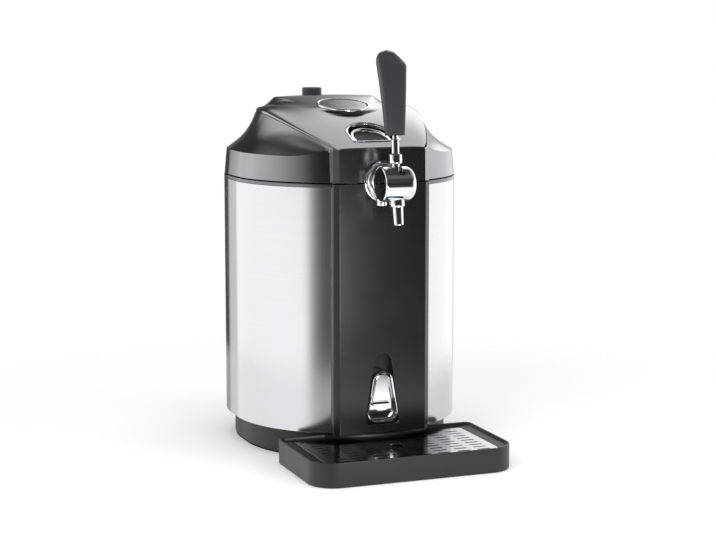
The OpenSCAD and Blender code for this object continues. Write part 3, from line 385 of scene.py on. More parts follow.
def plated(name, base, roughness, ripple=0.02):
    """Polished plating or bare polished metal: mirror bright, with the slightest waviness and haze."""
    material, tree, place = finish_tree(name)
    # the casting under the plating waves over some 12 mm
    wave = add_node(tree, "TexNoise", {"Vector": place, "Scale": 80.0, "Detail": 1.0})
    haze = add_node(tree, "TexNoise", {"Vector": place, "Scale": 26.0, "Detail": 4.0})
    shaded(tree, tinted(tree, haze, base, 0.97, 1.02), (wave, ripple, 0.001), {"Metallic": 1.0},
           (haze, roughness * 0.7, roughness * 1.5))
    return material


def cellular(name, base, cell_mm):
    """Rigid foam: matt, with small closed cells at its cut face."""
    material, tree, place = finish_tree(name)
    cells = add_node(tree, "TexVoronoi", {"Vector": place, "Scale": 1 / (cell_mm * MM)})
    shaded(tree, tinted(tree, cells, base, 0.85, 1.05), (cells, 0.6, 0.0006), {"Roughness": 0.9})
    return material


# every finish: its slot, its kind, its name, the setting or hex code of its colour, and its kind's own values
FINISHES = {
    # stainless sheet brushed round the body: pale, with reflections drawn out up and down
    "steel": ("steel", brushed, "Brushed stainless steel", "steel", 0.16, (6, 6, 3800), 0.05, 0.3),
    # gunmetal lacquer over ABS: half mirror, so it takes the room's light and dark softly
    "lacquer": ("black_shell", moulded, "Gunmetal lacquered ABS", "lacquer", 0.17, 0.35, 0.02, 1.5, 1.0),
    # satin black ABS of the column
    "panel": ("black_panel", moulded, "Satin black ABS column", "panel", 0.24, 0.4, 0.05, 1.5, 0.0, 0.0, 0.7),
    # plain black ABS with a coarser grain
    "base": ("black_base", moulded, "Black moulded ABS", "base", 0.48, 0.8, 0.14),
    "ring": ("grey_ring", moulded, "Grey lacquered trim ring", "ring", 0.26, 0.5, 0.03, 1.5, 1.0),
    # bright chromium over a zinc casting
    "chrome": ("chrome", plated, "Polished chrome plating", "chrome", 0.045),
    # the grid is polished, then darkened by handling
    "grid": ("grid_metal", plated, "Polished steel grid", "grid", 0.13, 0.01),
    # soft-touch coat on a solid grip
    "grip": ("grip", moulded, "Satin black grip moulding", "grip", 0.42, 0.35, 0.05),
    "knob": ("knob", moulded, "Dark ribbed nylon knob", "knob", 0.4, 0.4, 0.06),
    "tray": ("tray", moulded, "Black tray moulding", "tray", 0.4, 0.6, 0.08),
    "rubber": ("rubber", moulded, "Black foot rubber", "101011", 0.75, 0.9, 0.2),
    "liner": ("liner", moulded, "Pale moulded liner", "liner", 0.4, 0.7, 0.06),
    # hard gloss coat over smoked plastic
    "window": ("window", moulded, "Gloss black touch window", "0b0b0d", 0.07, 2.0, 0.0, 1.6, 0.0, 0.3),
    "symbol": ("window", moulded, "Pale printed symbols", "8b8d91", 0.4, 0.3, 0.0),
    "aluminium": ("aluminium", brushed, "Drawn aluminium", "c4c5c8", 0.34, (60, 60, 900), 0.1, 0.2),
    "screw": ("screw_steel", plated, "Zinc plated screw steel", "a9abad", 0.28, 0.05),
    "brass": ("brass", plated, "Nickel plated brass", "6d6e70", 0.22, 0.04),
    "foam": ("foam", cellular, "Rigid cream foam", "e9e2cf", 1.1),
    "board": ("board", moulded, "Green circuit board", "1f5a34", 0.35, 0.5, 0.05),
    "ceramic": ("ceramic", moulded, "White ceramic wafer", "efefe9", 0.3, 0.4, 0.03),
    "hose": ("line", moulded, "Clear food hose", "dcdcd6", 0.2, 0.8, 0.03),
}
MADE = {}


def finish(key):
    """Material for a finish, made the first time it is asked for."""
    if key not in MADE:
        make, name, tone, *values = FINISHES[key][1:]
        MADE[key] = make(name, getattr(settings().colours, tone, None) or linear(tone), *values)
    return MADE[key]


# ---- Plan of the housing ----

def oval_half(inset, half):
    """Points of the oval's right side, from the front column's edge to the rear one's."""
    h = settings().housing
    r = h.radius - inset
    end = math.degrees(math.acos(half / r))
    return arc(0, -h.shift, r, -end, 0, 40) + arc(0, h.shift, r, 0, end, 40)


def oval(inset):
    """The whole oval, anticlockwise from the right."""
    h = settings().housing
    r = h.radius - inset
    return arc(0, h.shift, r, 0, 180, 48) + arc(0, -h.shift, r, 180, 360, 48)


def mirrored(points):
    """Outline turned over left for right, with its order kept."""
    return [(-x, y) for x, y in reversed(points)]


def column(face_y, inset):
    """Plan of a flat column, with its edges rounded."""
    h = settings().housing
    wide, back, radius = h.panel_half + h.facet_w, 120, 1.4
    points = [(-wide + inset, -back), (-wide + inset, -face_y + h.facet_d + inset / 2),
              (-h.panel_half + inset / 2, -face_y + inset), (h.panel_half - inset / 2, -face_y + inset),
              (wide - inset, -face_y + h.facet_d + inset / 2), (wide - inset, -back)]
    return rounded(points, [0, radius * 2, radius, radius, radius * 2, 0], 5)


def column_wall(face_y, low, high):
    """Moulded wall of a column between two heights."""
    wall = 2.5
    return shape(prism, column(face_y, 0) + column(face_y, wall)[::-1], low, high)


def slit(x, y, half):
    """Outline of a slot with round ends."""
    return arc(x - half, y, 1.5, 90, 270, 7) + arc(x + half, y, 1.5, -90, 90, 7)


ALONG_X = Matrix.Rotation(math.pi / 2, 4, "Y")
TO_FRONT = Matrix.Rotation(math.pi / 2, 4, "X")
TO_REAR = Matrix.Rotation(-math.pi / 2, 4, "X")
ON_FRONT = Matrix(((1, 0, 0, 0), (0, 0, -1, 0), (0, 1, 0, 0), (0, 0, 0, 1)))


def on_front(depth, z):
    """Frame on the front panel: X right, Y up, Z out of the panel."""
    return shifted(0, -settings().housing.panel_y + depth, z) @ ON_FRONT


class DISPENSER_OT_skins(bpy.types.Operator):
    """Rolled steel skins with hemmed edges, the grey trim ring, the plinth and its rubber foot ring"""
    bl_idname = "dispenser.skins"
    bl_label = "Steel skins and plinth"

    def execute(self, context):
        h = settings().housing
        half = h.panel_half + h.facet_w + 0.25
        low, high = h.plinth_top + 0.5, h.seam - 5
        outer = oval_half(0, half)
        sheet = outer + oval_half(1, half)[::-1]
        for side, name in ((-1, "steel_skin_left"), (1, "steel_skin_right")):
            bm = shape(prism, sheet if side > 0 else mirrored(sheet), low, high)
            # hems, where the sheet is folded back on itself
            for x, y in (outer[0], outer[-1]):
                inward = Vector((-x, -y)).normalized() * 1.3
                prism(bm, arc(side * (x + inward.x), y + inward.y, 1.25, 0, 345, 16), low, high)
            soften(bm, 0.25, 1, 60)
            piece(name + "_sheet", bm, "steel", "housing", name)
        outer, inner = (oval_half(inset, half) + self.rear(h, inset, half) + mirrored(oval_half(inset, half))
                        for inset in (0, 9))
        bm = shape(prism, outer + inner[::-1], h.seam - 4.85, h.seam - 1)
        soften(bm, 0.5, 2, 40)
        piece("trim_ring", bm, "ring", "housing", "top_ring")
        p, top = h.plinth_inset, h.plinth_top
        wall = shape(stack, oval, ((p + 5, 1.6), (p + 1.6, 1.6), (p + 0.6, 2.4), (p, 4), (p, top - 2),
                                   (p + 0.5, top - 0.7), (p + 1.6, top)))
        hollow = shape(prism, oval(p + 4), -1, top - 3)
        piece("plinth_moulding", carve(wall, hollow), "base", "housing", "plinth")
        foot = shape(stack, oval, ((p + 0.8, 1.5), (p + 0.8, 0.5), (p + 1.3, 0.0), (p + 2.9, 0.0), (p + 3.4, 0.5),
                                   (p + 3.4, 1.5)), True)
        piece("rubber_foot_ring", foot, "rubber", "housing", "foot_ring")
        return {"FINISHED"}

    @staticmethod
    def rear(h, inset, half):
        """Rear of the oval between its two sides."""
        r = h.radius - inset
        end = math.degrees(math.acos(half / r))
        return arc(0, h.shift, r, end, 180 - end, 24)[1:-1]


def teardrop(grow, height=82.0, bottom=20.0, top=11.0, corner=5.0):
    """Outline of the opener recess: a wide foot that narrows to a round head."""
    big, small = corner + grow, top + grow
    base = Vector((bottom - corner, corner))
    head = Vector((0, height - top))
    apart = head - base
    lean = math.degrees(math.atan2(apart.y, apart.x) - math.acos((big - small) / apart.length))
    right = arc(base.x, base.y, big, -90, lean, 8) + arc(0, head.y, small, lean, 90, 16)
    return right + [(-x, y) for x, y in reversed(right[:-1])]


class DISPENSER_OT_front(bpy.types.Operator):
    """Front column with its softened edges, and the recess that the bottle opener stands in"""
    bl_idname = "dispenser.front"
    bl_label = "Front column"

    def execute(self, context):
        h = settings().housing
        y, z = -h.panel_y, h.opener_z
        bm = column_wall(h.panel_y, h.plinth_top - 1, h.seam - 1)
        soften(bm, 0.45, 2, 60, lambda p: p.z > h.seam - 2 or p.z < h.plinth_top)
        mesh = carve(bm, shape(prism, teardrop(1.5), 0, 13.5, at=on_front(14.9, z)), operation="UNION")
        mesh = carve(mesh, shape(prism, teardrop(0), 0, 20, at=on_front(12.5, z)),
                     shape(turned, rod(10.7, -20, 20), at=shifted(0, y, settings().tap.z) @ TO_FRONT))
        mesh = reshape(mesh, lambda m: soften(m, 0.8, 2, 50, lambda p: p.y < y + 0.1 and z - 1 < p.z < z + 83
                                              and abs(p.x) < 21))
        piece("front_column", mesh, "panel", "housing", "front_panel")
        return {"FINISHED"}


class DISPENSER_OT_opener(bpy.types.Operator):
    """Cast bottle opener: a raised rim, a hood with a slot under it, a half-moon lip and the lower plate"""
    bl_idname = "dispenser.opener"
    bl_label = "Bottle opener"

    def execute(self, context):
        face, z = -settings().housing.panel_y, settings().housing.opener_z + 2.4
        deep, floor = 12.4, 5.0
        rim = ((0, 0), (0, deep - 1.3), (-0.35, deep - 0.4), (-1.1, deep), (-2.0, deep - 0.4), (-2.5, deep - 1.4),
               (-3.2, floor + 0.5), (-3.8, floor))
        casting = shape(stack, self.egg, rim, at=on_front(deep, z))
        piece("opener_casting", casting, "chrome", "housing", "bottle_opener")
        # hood: a flat tongue that the cap's far edge bears on
        hood = [(x * 0.86, y) for x, y in self.egg(-4.2) if y > 24.5]
        hood = [(-11.4, 23.5), (11.4, 23.5)] + sorted([p for p in hood if p[0] > 0.01], key=lambda p: p[1]) \
            + sorted([p for p in hood if p[0] <= 0.01], key=lambda p: -p[1])
        bm = shape(prism, hood, 0, 4.4, at=on_front(7.2, z))
        soften(bm, 0.7, 2, 30, lambda p: p.y < face + 4)
        # lip: a half moon that hooks under the cap
        moon = [(x, 20.2 - (19.4 - y) * 0.8) for x, y in arc(0, 19.4, 10.6, 0, -180, 17)]
        moon = [(-10.6, 20.6), (10.6, 20.6)] + moon
        placed(bm, on_front(7.2, z), prism, moon, 0, 5.0)
        soften(bm, 0.5, 2, 40, lambda p: p.y < face + 3)
        piece("opener_hood", bm, "chrome", "housing")
        return {"FINISHED"}

    @staticmethod
    def egg(grow):
        """Outline of the casting: a rounded foot, sides that bulge a little and a round head."""
        tall = 58.6
        return [(x * (1 + 0.05 * math.sin(math.pi * min(1.0, max(0.0, y / tall)))),
                 y - 2.0 * max(0.0, 1 - (x / 15) ** 2) * max(0.0, 1 - y / 10))
                for x, y in teardrop(grow, tall, 18.4, 12.4, 9.5)]


# ---- Tap ----

def tap_frame(dx=0.0, dy=0.0, dz=0.0):
    """Frame at the middle of the barrel."""
    t = settings().tap
    return shifted(dx, -t.y + dy, t.z + dz)


def barrel_room(gap):
    """Space that the barrel takes up, with a gap round it."""
    return shape(turned, rod(settings().tap.barrel_r + gap, -30, 30), 96, at=tap_frame() @ ALONG_X)


# frame whose X points to the front, Y up and Z along the barrel
SWING = Matrix(((0, 0, 1, 0), (-1, 0, 0, 0), (0, 1, 0, 0), (0, 0, 0, 1)))
STEM_LEAN = math.radians(-4)
SPOUT_LEAN = math.radians(-10)


class DISPENSER_OT_tap(bpy.types.Operator):
    """Chrome tap: ribbed rosette, shank, barrel with its end cap, spout with its collar, and the vent lug"""
    bl_idname = "dispenser.tap"
    bl_label = "Tap"

    def execute(self, context):
        t, panel = settings().tap, -settings().housing.panel_y
        r = t.rosette_r
        rosette = [(9.1, 0), (r - 0.4, 0), (r, 0.5), (r, 1.5), (r - 0.5, 2.3), (r - 1.5, 2.7), (r - 3.4, 2.7),
                   (r - 4.0, 2.5), (r - 4.3, 2.9), (r - 4.8, 3.9), (r - 5.8, 4.6), (r - 7.5, 4.8), (r - 8.2, 5.0),
                   (r - 8.8, 6.0), (r - 9.8, 6.8), (r - 11, 7.0), (9.6, 7.0), (9.1, 6.6)]
        piece("rosette", shape(turned, rosette, 96, True, at=shifted(0, panel - 0.2, t.z) @ TO_FRONT), "chrome",
              "housing", "tap_rosette")
        shank = [(3.5, -24), (8.4, -24), (9, -23.4), (9, 7.6), (11.4, 7.6), (12, 8.2), (12, 11.8), (11.4, 12.5),
                 (9.2, 12.9), (9, 13.4), (9, 21.4), (3.5, 21.4)]
        shank = shape(turned, shank, 64, True, at=shifted(0, panel, t.z) @ TO_FRONT)
        piece("shank", carve(shank, barrel_room(0.05)), "chrome", "housing", "tap_shank")
        self.barrel(t)
        b, tip = t.barrel_r, -t.barrel_r - 5 - t.spout_l
        spout = [(3.6, -16), (8, -16), (8, -b - 4.6), (7.4, -b - 5.6), (6.3, -b - 6.0), (6.05, -b - 6.6),
                 (5.35, tip + 0.8), (5.1, tip + 0.1), (4.7, tip), (3.7, tip + 0.1), (3.6, tip + 0.4)]
        spout = shape(turned, spout, 48, True, at=tap_frame() @ Matrix.Rotation(SPOUT_LEAN, 4, "X"))
        piece("spout", carve(spout, barrel_room(0.06)), "chrome", "housing", "tap_spout")
        lug = [(0, 0), (4.9, 0), (5.7, 0.5), (6, 1.3), (6, 3.4), (5.5, 3.8), (5.5, 4.4), (6, 4.8), (6, 13.4),
               (0, 13.4)]
        lug = shape(turned, lug, 40, at=tap_frame(-11, 15, -b - 5.5))
        piece("vent_lug_turned", carve(lug, barrel_room(0.06)), "chrome", "housing", "vent_lug")
        return {"FINISHED"}

    @staticmethod
    def barrel(t):
        """Barrel with its round end, its bores and the slot that the stem swings in, and its cap."""
        half, b, end = t.barrel_l / 2, t.barrel_r, 9.0
        rim = [(b - end + end * math.sin(math.radians(a)), half - end + end * math.cos(math.radians(a)))
               for a in range(0, 91, 9)]
        profile = [(0, half), (b * 0.3, half)] + rim + [
            (b, 0), (b, -half + 2.6), (b - 0.3, -half + 1.4), (b - 1.2, -half + 0.5), (b - 2.3, -half + 0.15),
            (13.05, -half + 0.15), (13.05, half - 4), (0, half - 4)]
        fan = [(0, 0)] + arc(0, 0, b + 8, 90 - 56, 90 + 24, 9)
        barrel = carve(shape(turned, profile, 96, at=tap_frame() @ ALONG_X),
                       shape(prism, fan, -4.8, 4.8, at=tap_frame() @ SWING),
                       shape(turned, rod(4, -19.6, 12), 32, at=tap_frame(0, 0, -b)))
        piece("barrel", barrel, "chrome", "housing", "tap_barrel")
        c, steps = b - 2, 12
        dome = [(c * (1 - k / steps), -half - 0.2 - 1.1 * (k / steps) ** 0.9) for k in range(1, steps)]
        cap = [(0, -half - 0.05), (c - 0.8, -half - 0.05), (c, -half - 0.2)] + dome + [(0, -half - 1.3)]
        cap = shape(turned, cap, 96, at=tap_frame() @ ALONG_X)
        piece("barrel_end_cap", cap, "chrome", "housing", "barrel_cap")


def grip_ring(s, height):
    """Section of the grip at a share of its height: broad, flat in front and leaning back to the top."""
    sides, squareness = 44, 3.8
    crown = max(0.0, (s - 0.82) / 0.18)
    fall = math.sqrt(max(0.0, 1 - crown ** 2.4))
    wide = (11 + 6.8 * s ** 1.1) * (0.25 + 0.75 * fall)
    deep = (5.6 + 3.2 * s) * (0.35 + 0.65 * fall)
    slant = (max(0.0, s - 0.7) / 0.3) ** 2 * (0.2 + 0.8 * fall)
    points = []
    for i in range(sides):
        a = math.tau * (i + 0.5) / sides
        x, y = (math.copysign(abs(v) ** (2 / squareness), v) for v in (math.cos(a), math.sin(a)))
        # the crown falls to the front and to the right
        dip = slant * (12 * max(0.0, -y) + 7 * max(0.0, x + 0.3) ** 1.5)
        points.append((wide * x, 8 * s * s + deep * y, s * height - dip))
    return points


class DISPENSER_OT_lever(bpy.types.Operator):
    """Lever: the turned stem with its collar, and the broad grip that leans back to its slanted top"""
    bl_idname = "dispenser.lever"
    bl_label = "Lever"

    def execute(self, context):
        t = settings().tap
        lean = tap_frame() @ Matrix.Rotation(STEM_LEAN, 4, "X")
        b = t.barrel_r
        stem = [(0, 6.2), (2.95, 6.2), (2.95, 13), (4.35, 13.2), (4.35, b + 2.6), (6.0, b + 2.7), (7.0, b + 3.4),
                (7.3, b + 4.4), (7.3, b + 11.6), (7.0, b + 12.6), (6.2, b + 13.4), (4.9, b + 13.6),
                (4.35, b + 14.2), (4.35, 48.4), (3.9, 49), (2.9, 49.1), (2.9, 62.8), (0, 62.9)]
        piece("stem", shape(turned, stem, 56, at=lean), "chrome", "lever", "lever_stem")
        rings = [grip_ring((i / 34) ** 0.85, t.grip_h - 0.2) for i in range(35)]
        bm = shape(tube, rings, at=lean @ shifted(0, 0, 53.1))
        soften(bm, 0.7, 3, 55)
        piece("grip", bm, "grip", "lever", "handle_grip")
        return {"FINISHED"}


# ---- Lid surfaces, as the part's source gives them ----

# how far the cover's side seam reaches to the front and to the rear, and where the cover stands highest
SEAM_FRONT, SEAM_REAR, CREST_Y = 141, 128, 26
# the raised island: its front end's middle and radius, and where its foot starts and its top starts to close in
ISLAND_Y, ISLAND_R, FOOT_Y, WAIST_Y = -15, 33, -49, 45


def seam_half(y):
    """Half width of the cover at its side seam."""
    lid = settings().lid
    if y < 0:
        return lid.half - (lid.half - settings().housing.panel_half - 1) * (-y / SEAM_FRONT) ** 1.6
    return lid.half * math.sqrt(max(0.0, 1 - (y / SEAM_REAR) ** 2))


def seam_height(y):
    """Height of the side seam, which falls to the front."""
    high = settings().lid.shoulder
    return high - 35 * min(1.0, -y / SEAM_FRONT) ** 1.35 if y < 0 else high - 6 * (y / SEAM_REAR) ** 2


def crown(y):
    """How far the cover's middle stands above its side seam."""
    if y < CREST_Y:
        return 2.2 + 10.3 * max(0.0, (y + SEAM_FRONT) / (SEAM_FRONT + CREST_Y)) ** 1.2
    return 12.5 * math.sqrt(max(0.0, 1 - ((y - CREST_Y) / 104) ** 2))


def cover_height(x, y):
    """Height of the cover without its island."""
    wide = max(1.0, seam_half(y))
    return seam_height(y) + crown(y) * max(0.0, 1 - min(1.0, abs(x) / wide) ** 4) ** 0.4


def foot_half(y):
    """Half width of the island at its foot."""
    if y < CREST_Y:
        return 10 * math.sqrt(max(0.0, y - FOOT_Y))
    return 86.6 * math.sqrt(max(0.0, 1 - ((y - CREST_Y) / 90) ** 2))


def top_half(y):
    """Half width of the island's top."""
    if y < ISLAND_Y:
        return math.sqrt(max(0.0, ISLAND_R * ISLAND_R - (y - ISLAND_Y) ** 2))
    if y < WAIST_Y:
        return ISLAND_R + 0.48 * (y - ISLAND_Y)
    return 61.8 * math.sqrt(max(0.0, 1 - ((y - WAIST_Y) / 67) ** 2))


def hump_height(y):
    """Height of the island along its middle."""
    top, peak = settings().lid.top, 50
    return top - 14.1 * ((peak - y) / 96) ** 1.45 if y < peak else top - 6.6 * ((y - peak) / 62) ** 2


def lid_height(x, y):
    """Height of the lid, with its island and the island's flanks."""
    wt, wf, ax = top_half(y), foot_half(y), abs(x)
    if y < -46.5 or y > 112.2 or ax >= wf:
        return cover_height(x, y)
    if ax <= wt:
        return hump_height(y) - 1.5 * (ax / max(1.0, wt)) ** 2
    edge = hump_height(y) - 1.5
    return edge + (cover_height(wf, y) - edge) * math.sin(math.pi / 2 * (ax - wt) / (wf - wt))


def column_angle(inset):
    """Angle on the oval's front half circle at which the column starts."""
    h = settings().housing
    return math.degrees(math.acos((h.panel_half + h.facet_w) / (h.radius - inset)))


def half_lines(inset, taper):
    """Collar points, their top heights and the seam points above them, front middle to rear middle."""
    h, lid = settings().housing, settings().lid
    wide, z0 = h.panel_half + h.facet_w, h.seam
    lines = []
    for i in range(7):
        x = -h.panel_half * i / 6
        top = cover_height(x, -SEAM_FRONT)
        lines.append(((x * (1 - 0.01 * inset), -h.panel_y + inset + taper * 0.4, top - 0.4),
                      (x * (1 - 0.01 * inset), -h.panel_y + inset + taper * 0.4 + 0.8, top)))
    y = -h.panel_y + h.facet_d + inset / 2 + taper * 0.4
    lines.append(((-wide + inset, y, z0 + lid.collar + 8.3),
                  (-wide + inset + 2.5, y + 0.5, z0 + lid.collar + 8.6)))
    side = column_angle(0)
    for a in spread(-column_angle(inset + taper) + 0.2, 90, 44):
        r = h.radius - inset - taper
        rad = math.radians(a)
        px, py = -r * math.cos(rad), r * math.sin(rad) + (-h.shift if a < 0 else h.shift)
        ys = -133 * math.sin(-rad) / math.sin(math.radians(side)) if a < 0 else SEAM_REAR * math.sin(rad)
        top = z0 + lid.collar + 8.5 * max(0.0, (-a - 40) / (side - 40)) ** 2
        lines.append(((px, py, top), (-seam_half(ys), ys, seam_height(ys))))
    return lines


def all_round(points):
    """A half line of points from the front middle to the rear middle, made a full loop."""
    return list(points) + [(-x, y, z) for x, y, z in reversed(points[1:-1])]


def shoulder(lines, s, drop=0.0):
    """Loop on the shoulders at a share of the way from the collar to the seam."""
    rise = 0.6 * s + 0.4 * s ** 4
    return all_round([(a[0] + (b[0] - a[0]) * s, a[1] + (b[1] - a[1]) * s, a[2] + (b[2] - a[2]) * rise - drop)
                      for a, b in lines])


class DISPENSER_OT_lid_shell(bpy.types.Operator):
    """Lid collar and shoulders: an upright band that sweeps in and up to the cover's seam"""
    bl_idname = "dispenser.lid_shell"
    bl_label = "Lid shell"

    def execute(self, context):
        h, tap_z = settings().housing, settings().tap.z
        # the moulding's clearance, wall and taper, the shoulders' loops, and the collar's share below its bend
        gap, wall, taper, levels, share = 0.5, 2.6, 2.5, 14, 0.97
        low, high = half_lines(gap, 0), half_lines(gap, taper)
        low_in, high_in = half_lines(gap + wall, 0), half_lines(gap + wall, taper)
        inner = [(b[0], a[1]) for a, b in zip(high, high_in)]
        steps = [i / levels for i in range(levels + 1)]
        edge = [(a[0][0] + (b[0][0] - a[0][0]) * share, a[0][1] + (b[0][1] - a[0][1]) * share,
                 h.seam + (b[0][2] - h.seam) * share) for a, b in zip(low, high)]
        rings = [all_round([(a[0][0], a[0][1], h.seam + 0.5) for a in low_in]),
                 all_round([(a[0][0] * 0.997, a[0][1] * 0.997, h.seam) for a in low]),
                 all_round([(a[0][0], a[0][1], h.seam + 0.6) for a in low]), all_round(edge)]
        rings += [shoulder(high, s) for s in steps]
        rings += [shoulder(inner, s, 3.6) for s in reversed(steps)]
        # the rosette's arch, open below, and the notches of the hinge arms
        arch = shape(turned, rod(16.5, -25, 8), 72, at=shifted(0, -h.panel_y, tap_z) @ TO_FRONT)
        block(arch, (-16.4, -h.panel_y - 8, tap_z - 20), (16.4, -h.panel_y + 25, tap_z - 0.2))
        notches = [shape(block, (x - 6.1, 100, h.seam - 3), (x + 6.1, 180, h.seam + 8.5)) for x in (-52, 52)]
        mesh = carve(shape(tube, rings, True), arch, *notches)
        piece("lid_shell_moulding", mesh, "lacquer", "lid", "lid_shell", angle=math.radians(28))
        return {"FINISHED"}


DISPLAY_TILT, DISPLAY_R = math.radians(9.7), 31.3
LATCH_Y = -100


def at_display():
    """Frame on the tilted display disc."""
    return shifted(0, ISLAND_Y, hump_height(ISLAND_Y) - 0.4) @ Matrix.Rotation(DISPLAY_TILT, 4, "X")


def at_latch():
    """Frame on the cover at the latch recess."""
    front, rear = -126, -73
    low, high = cover_height(0, front), cover_height(0, rear)
    slope = math.atan((high - low) / (rear - front))
    return shifted(0, LATCH_Y, (low + high) / 2) @ Matrix.Rotation(slope, 4, "X")


def latch_outline(grow):
    """Arched outline of the latch recess."""
    w, c = 29 + grow, 4.0
    arch = [(w * math.cos(math.radians(a)), -6 + (34 + grow) * math.sin(math.radians(a)))
            for a in spread(0, 180, 33)]
    return arch + arc(-w + c, -27 - grow + c, c, 180, 270, 7) + arc(w - c, -27 - grow + c, c, 270, 360, 7)


def cover_edge(y):
    """Half width of the cover's plate, which narrows to the column at its front."""
    return min(seam_half(y), 52 - 0.6 + (y + 142 - 2.3) * 0.65) - 1.0


class DISPENSER_OT_lid_cover(bpy.types.Operator):
    """Cover of the lid with its raised island, cut for the display, the latch recess and the knob"""
    bl_idname = "dispenser.lid_cover"
    bl_label = "Lid cover"

    def execute(self, context):
        lid = settings().lid
        front, rear, thick = -139.3, 127.2, 3
        bm = bmesh.new()
        grid = bmesh.ops.create_grid(bm, x_segments=96, y_segments=lid.rows, size=1)
        for v in grid["verts"]:
            y = front + (rear - front) * (v.co.y + 1) / 2
            x = self.column(v.co.x, y)
            v.co = (x, y, lid_height(x, y))
        under = bmesh.ops.extrude_face_region(bm, geom=bm.faces[:])
        lower = [g for g in under["geom"] if isinstance(g, bmesh.types.BMVert)]
        bmesh.ops.translate(bm, vec=(0, 0, -thick), verts=lower)
        seat = hump_height(lid.knob_y) - 0.3
        mesh = carve(bm, shape(turned, rod(DISPLAY_R + 0.2, -30, 30), 96, at=at_display()),
                     shape(prism, latch_outline(0.2), -14, 26, at=at_latch()),
                     shape(turned, [(0, 380), (5, 380), (5, seat), (12.5, seat), (12.5, 430), (0, 430)], 64,
                           at=shifted(0, lid.knob_y, 0)))
        piece("lid_cover_moulding", mesh, "lacquer", "lid", "lid_cover", angle=math.radians(24))
        return {"FINISHED"}

    @staticmethod
    def column(u, y):
        """Distance from the middle for a column, crowded where the island's flank is."""
        edge = cover_edge(y)
        raised = -46.6 < y < 112.3
        wt = max(4.0, top_half(y)) if raised else (11.0 if y < 0 else 0.3 * edge)
        wf = max(wt + 2, foot_half(y)) if raised else (17.0 if y < 0 else 0.6 * edge)
        a = abs(u)
        if a < 0.3:
            x = wt * a / 0.3
        elif a < 0.68:
            x = wt + (wf - wt) * (a - 0.3) / 0.38
        else:
            s = (a - 0.68) / 0.32
            x = wf + (edge - wf) * (1 - (1 - s) ** 2)
        return math.copysign(x, u)


class DISPENSER_OT_display(bpy.types.Operator):
    """Chrome display rim, gloss window and its plain touch symbols"""
    bl_idname = "dispenser.display"
    bl_label = "Display"

    def execute(self, context):
        r, w = DISPLAY_R, DISPLAY_R - 2.85
        rim = [(r - 5.6, -5), (r, -5), (r, -0.2), (r - 0.25, 0.4), (r - 0.9, 0.82), (r - 1.5, 0.9),
               (r - 2.2, 0.72), (r - 2.7, 0.2), (r - 2.8, -0.4), (r - 2.8, -2.2), (r - 5.6, -2.2)]
        piece("display_bezel", shape(turned, rim, 96, True, at=at_display()), "chrome", "lid", "display_rim")
        glass = [(0, -2.15), (w, -2.15), (w, -0.2), (w - 0.5, 0.25), (w - 6, 0.55), (w - 14, 0.7), (0, 0.74)]
        piece("display_glass", shape(turned, glass, 96, at=at_display()), "window", "lid", "display_window")
        # symbols: rings, with a stroke for power, a minus and a plus
        bm = bmesh.new()
        for x, y, size in ((0, 9, 4.2), (-12, -4, 3.0), (12, -4, 3.0), (0, -12, 3.0)):
            ringed = [(size - 0.6, 0.62), (size, 0.62), (size, 0.78), (size - 0.6, 0.78)]
            placed(bm, at_display() @ shifted(x, y, 0), turned, ringed, 40, True)
        for x0, y0, x1, y1 in ((-0.35, 9.5, 0.35, 14.4), (-13.4, -4.3, -10.6, -3.7), (10.6, -4.3, 13.4, -3.7),
                               (11.7, -5.4, 12.3, -2.6)):
            placed(bm, at_display(), block, (x0, y0, 0.62), (x1, y1, 0.79))
        piece("display_symbols", bm, "symbol", "lid")
        return {"FINISHED"}


class DISPENSER_OT_latch(bpy.types.Operator):
    """Chrome frame round the latch recess, its dark pocket, and the stepped paddle inside"""
    bl_idname = "dispenser.latch"
    bl_label = "Latch"

    def execute(self, context):
        at = at_latch()
        bezel = ((0, -3), (0, 0.1), (-0.3, 0.7), (-1.1, 1.0), (-2.0, 0.8), (-2.9, 0.1), (-3.2, -0.9), (-3.2, -3))
        piece("latch_frame", shape(stack, latch_outline, bezel, True, at=at), "chrome", "lid", "latch_bezel")
        well = ((-0.4, -3.1), (-0.4, -18), (-1.4, -19), (-4.5, -19), (-4.5, -17), (-2.6, -15.5), (-2.6, -3.1))
        bm = shape(stack, latch_outline, well, True, at=at)
        placed(bm, at, prism, latch_outline(-4.5), -19, -17)
        piece("latch_well", bm, "base", "lid", "latch_pocket")
        pad = ((-10.8, -8.0), (-10.8, -6.9), (-11.4, -6.4), (-13.0, -6.3))
        piece("latch_paddle_pad", shape(stack, latch_outline, pad, at=at), "base", "latch")
        plate = ((-6.5, -9.5), (-6.5, -4.3), (-6.9, -3.7), (-7.8, -3.5), (-9.4, -4.0), (-10.3, -5.2),
                 (-10.6, -7.9))
        bm = shape(stack, latch_outline, plate, at=at)
        pin = [(0, -27.8), (1.5, -27.8), (1.5, -25.4), (2.6, -25.4), (2.6, 25.4), (1.5, 25.4), (1.5, 27.8),
               (0, 27.8)]
        placed(bm, at @ shifted(0, -19, -11) @ ALONG_X, turned, pin, 32)
        piece("latch_paddle_plate", bm, "chrome", "latch", "latch_paddle")
        return {"FINISHED"}


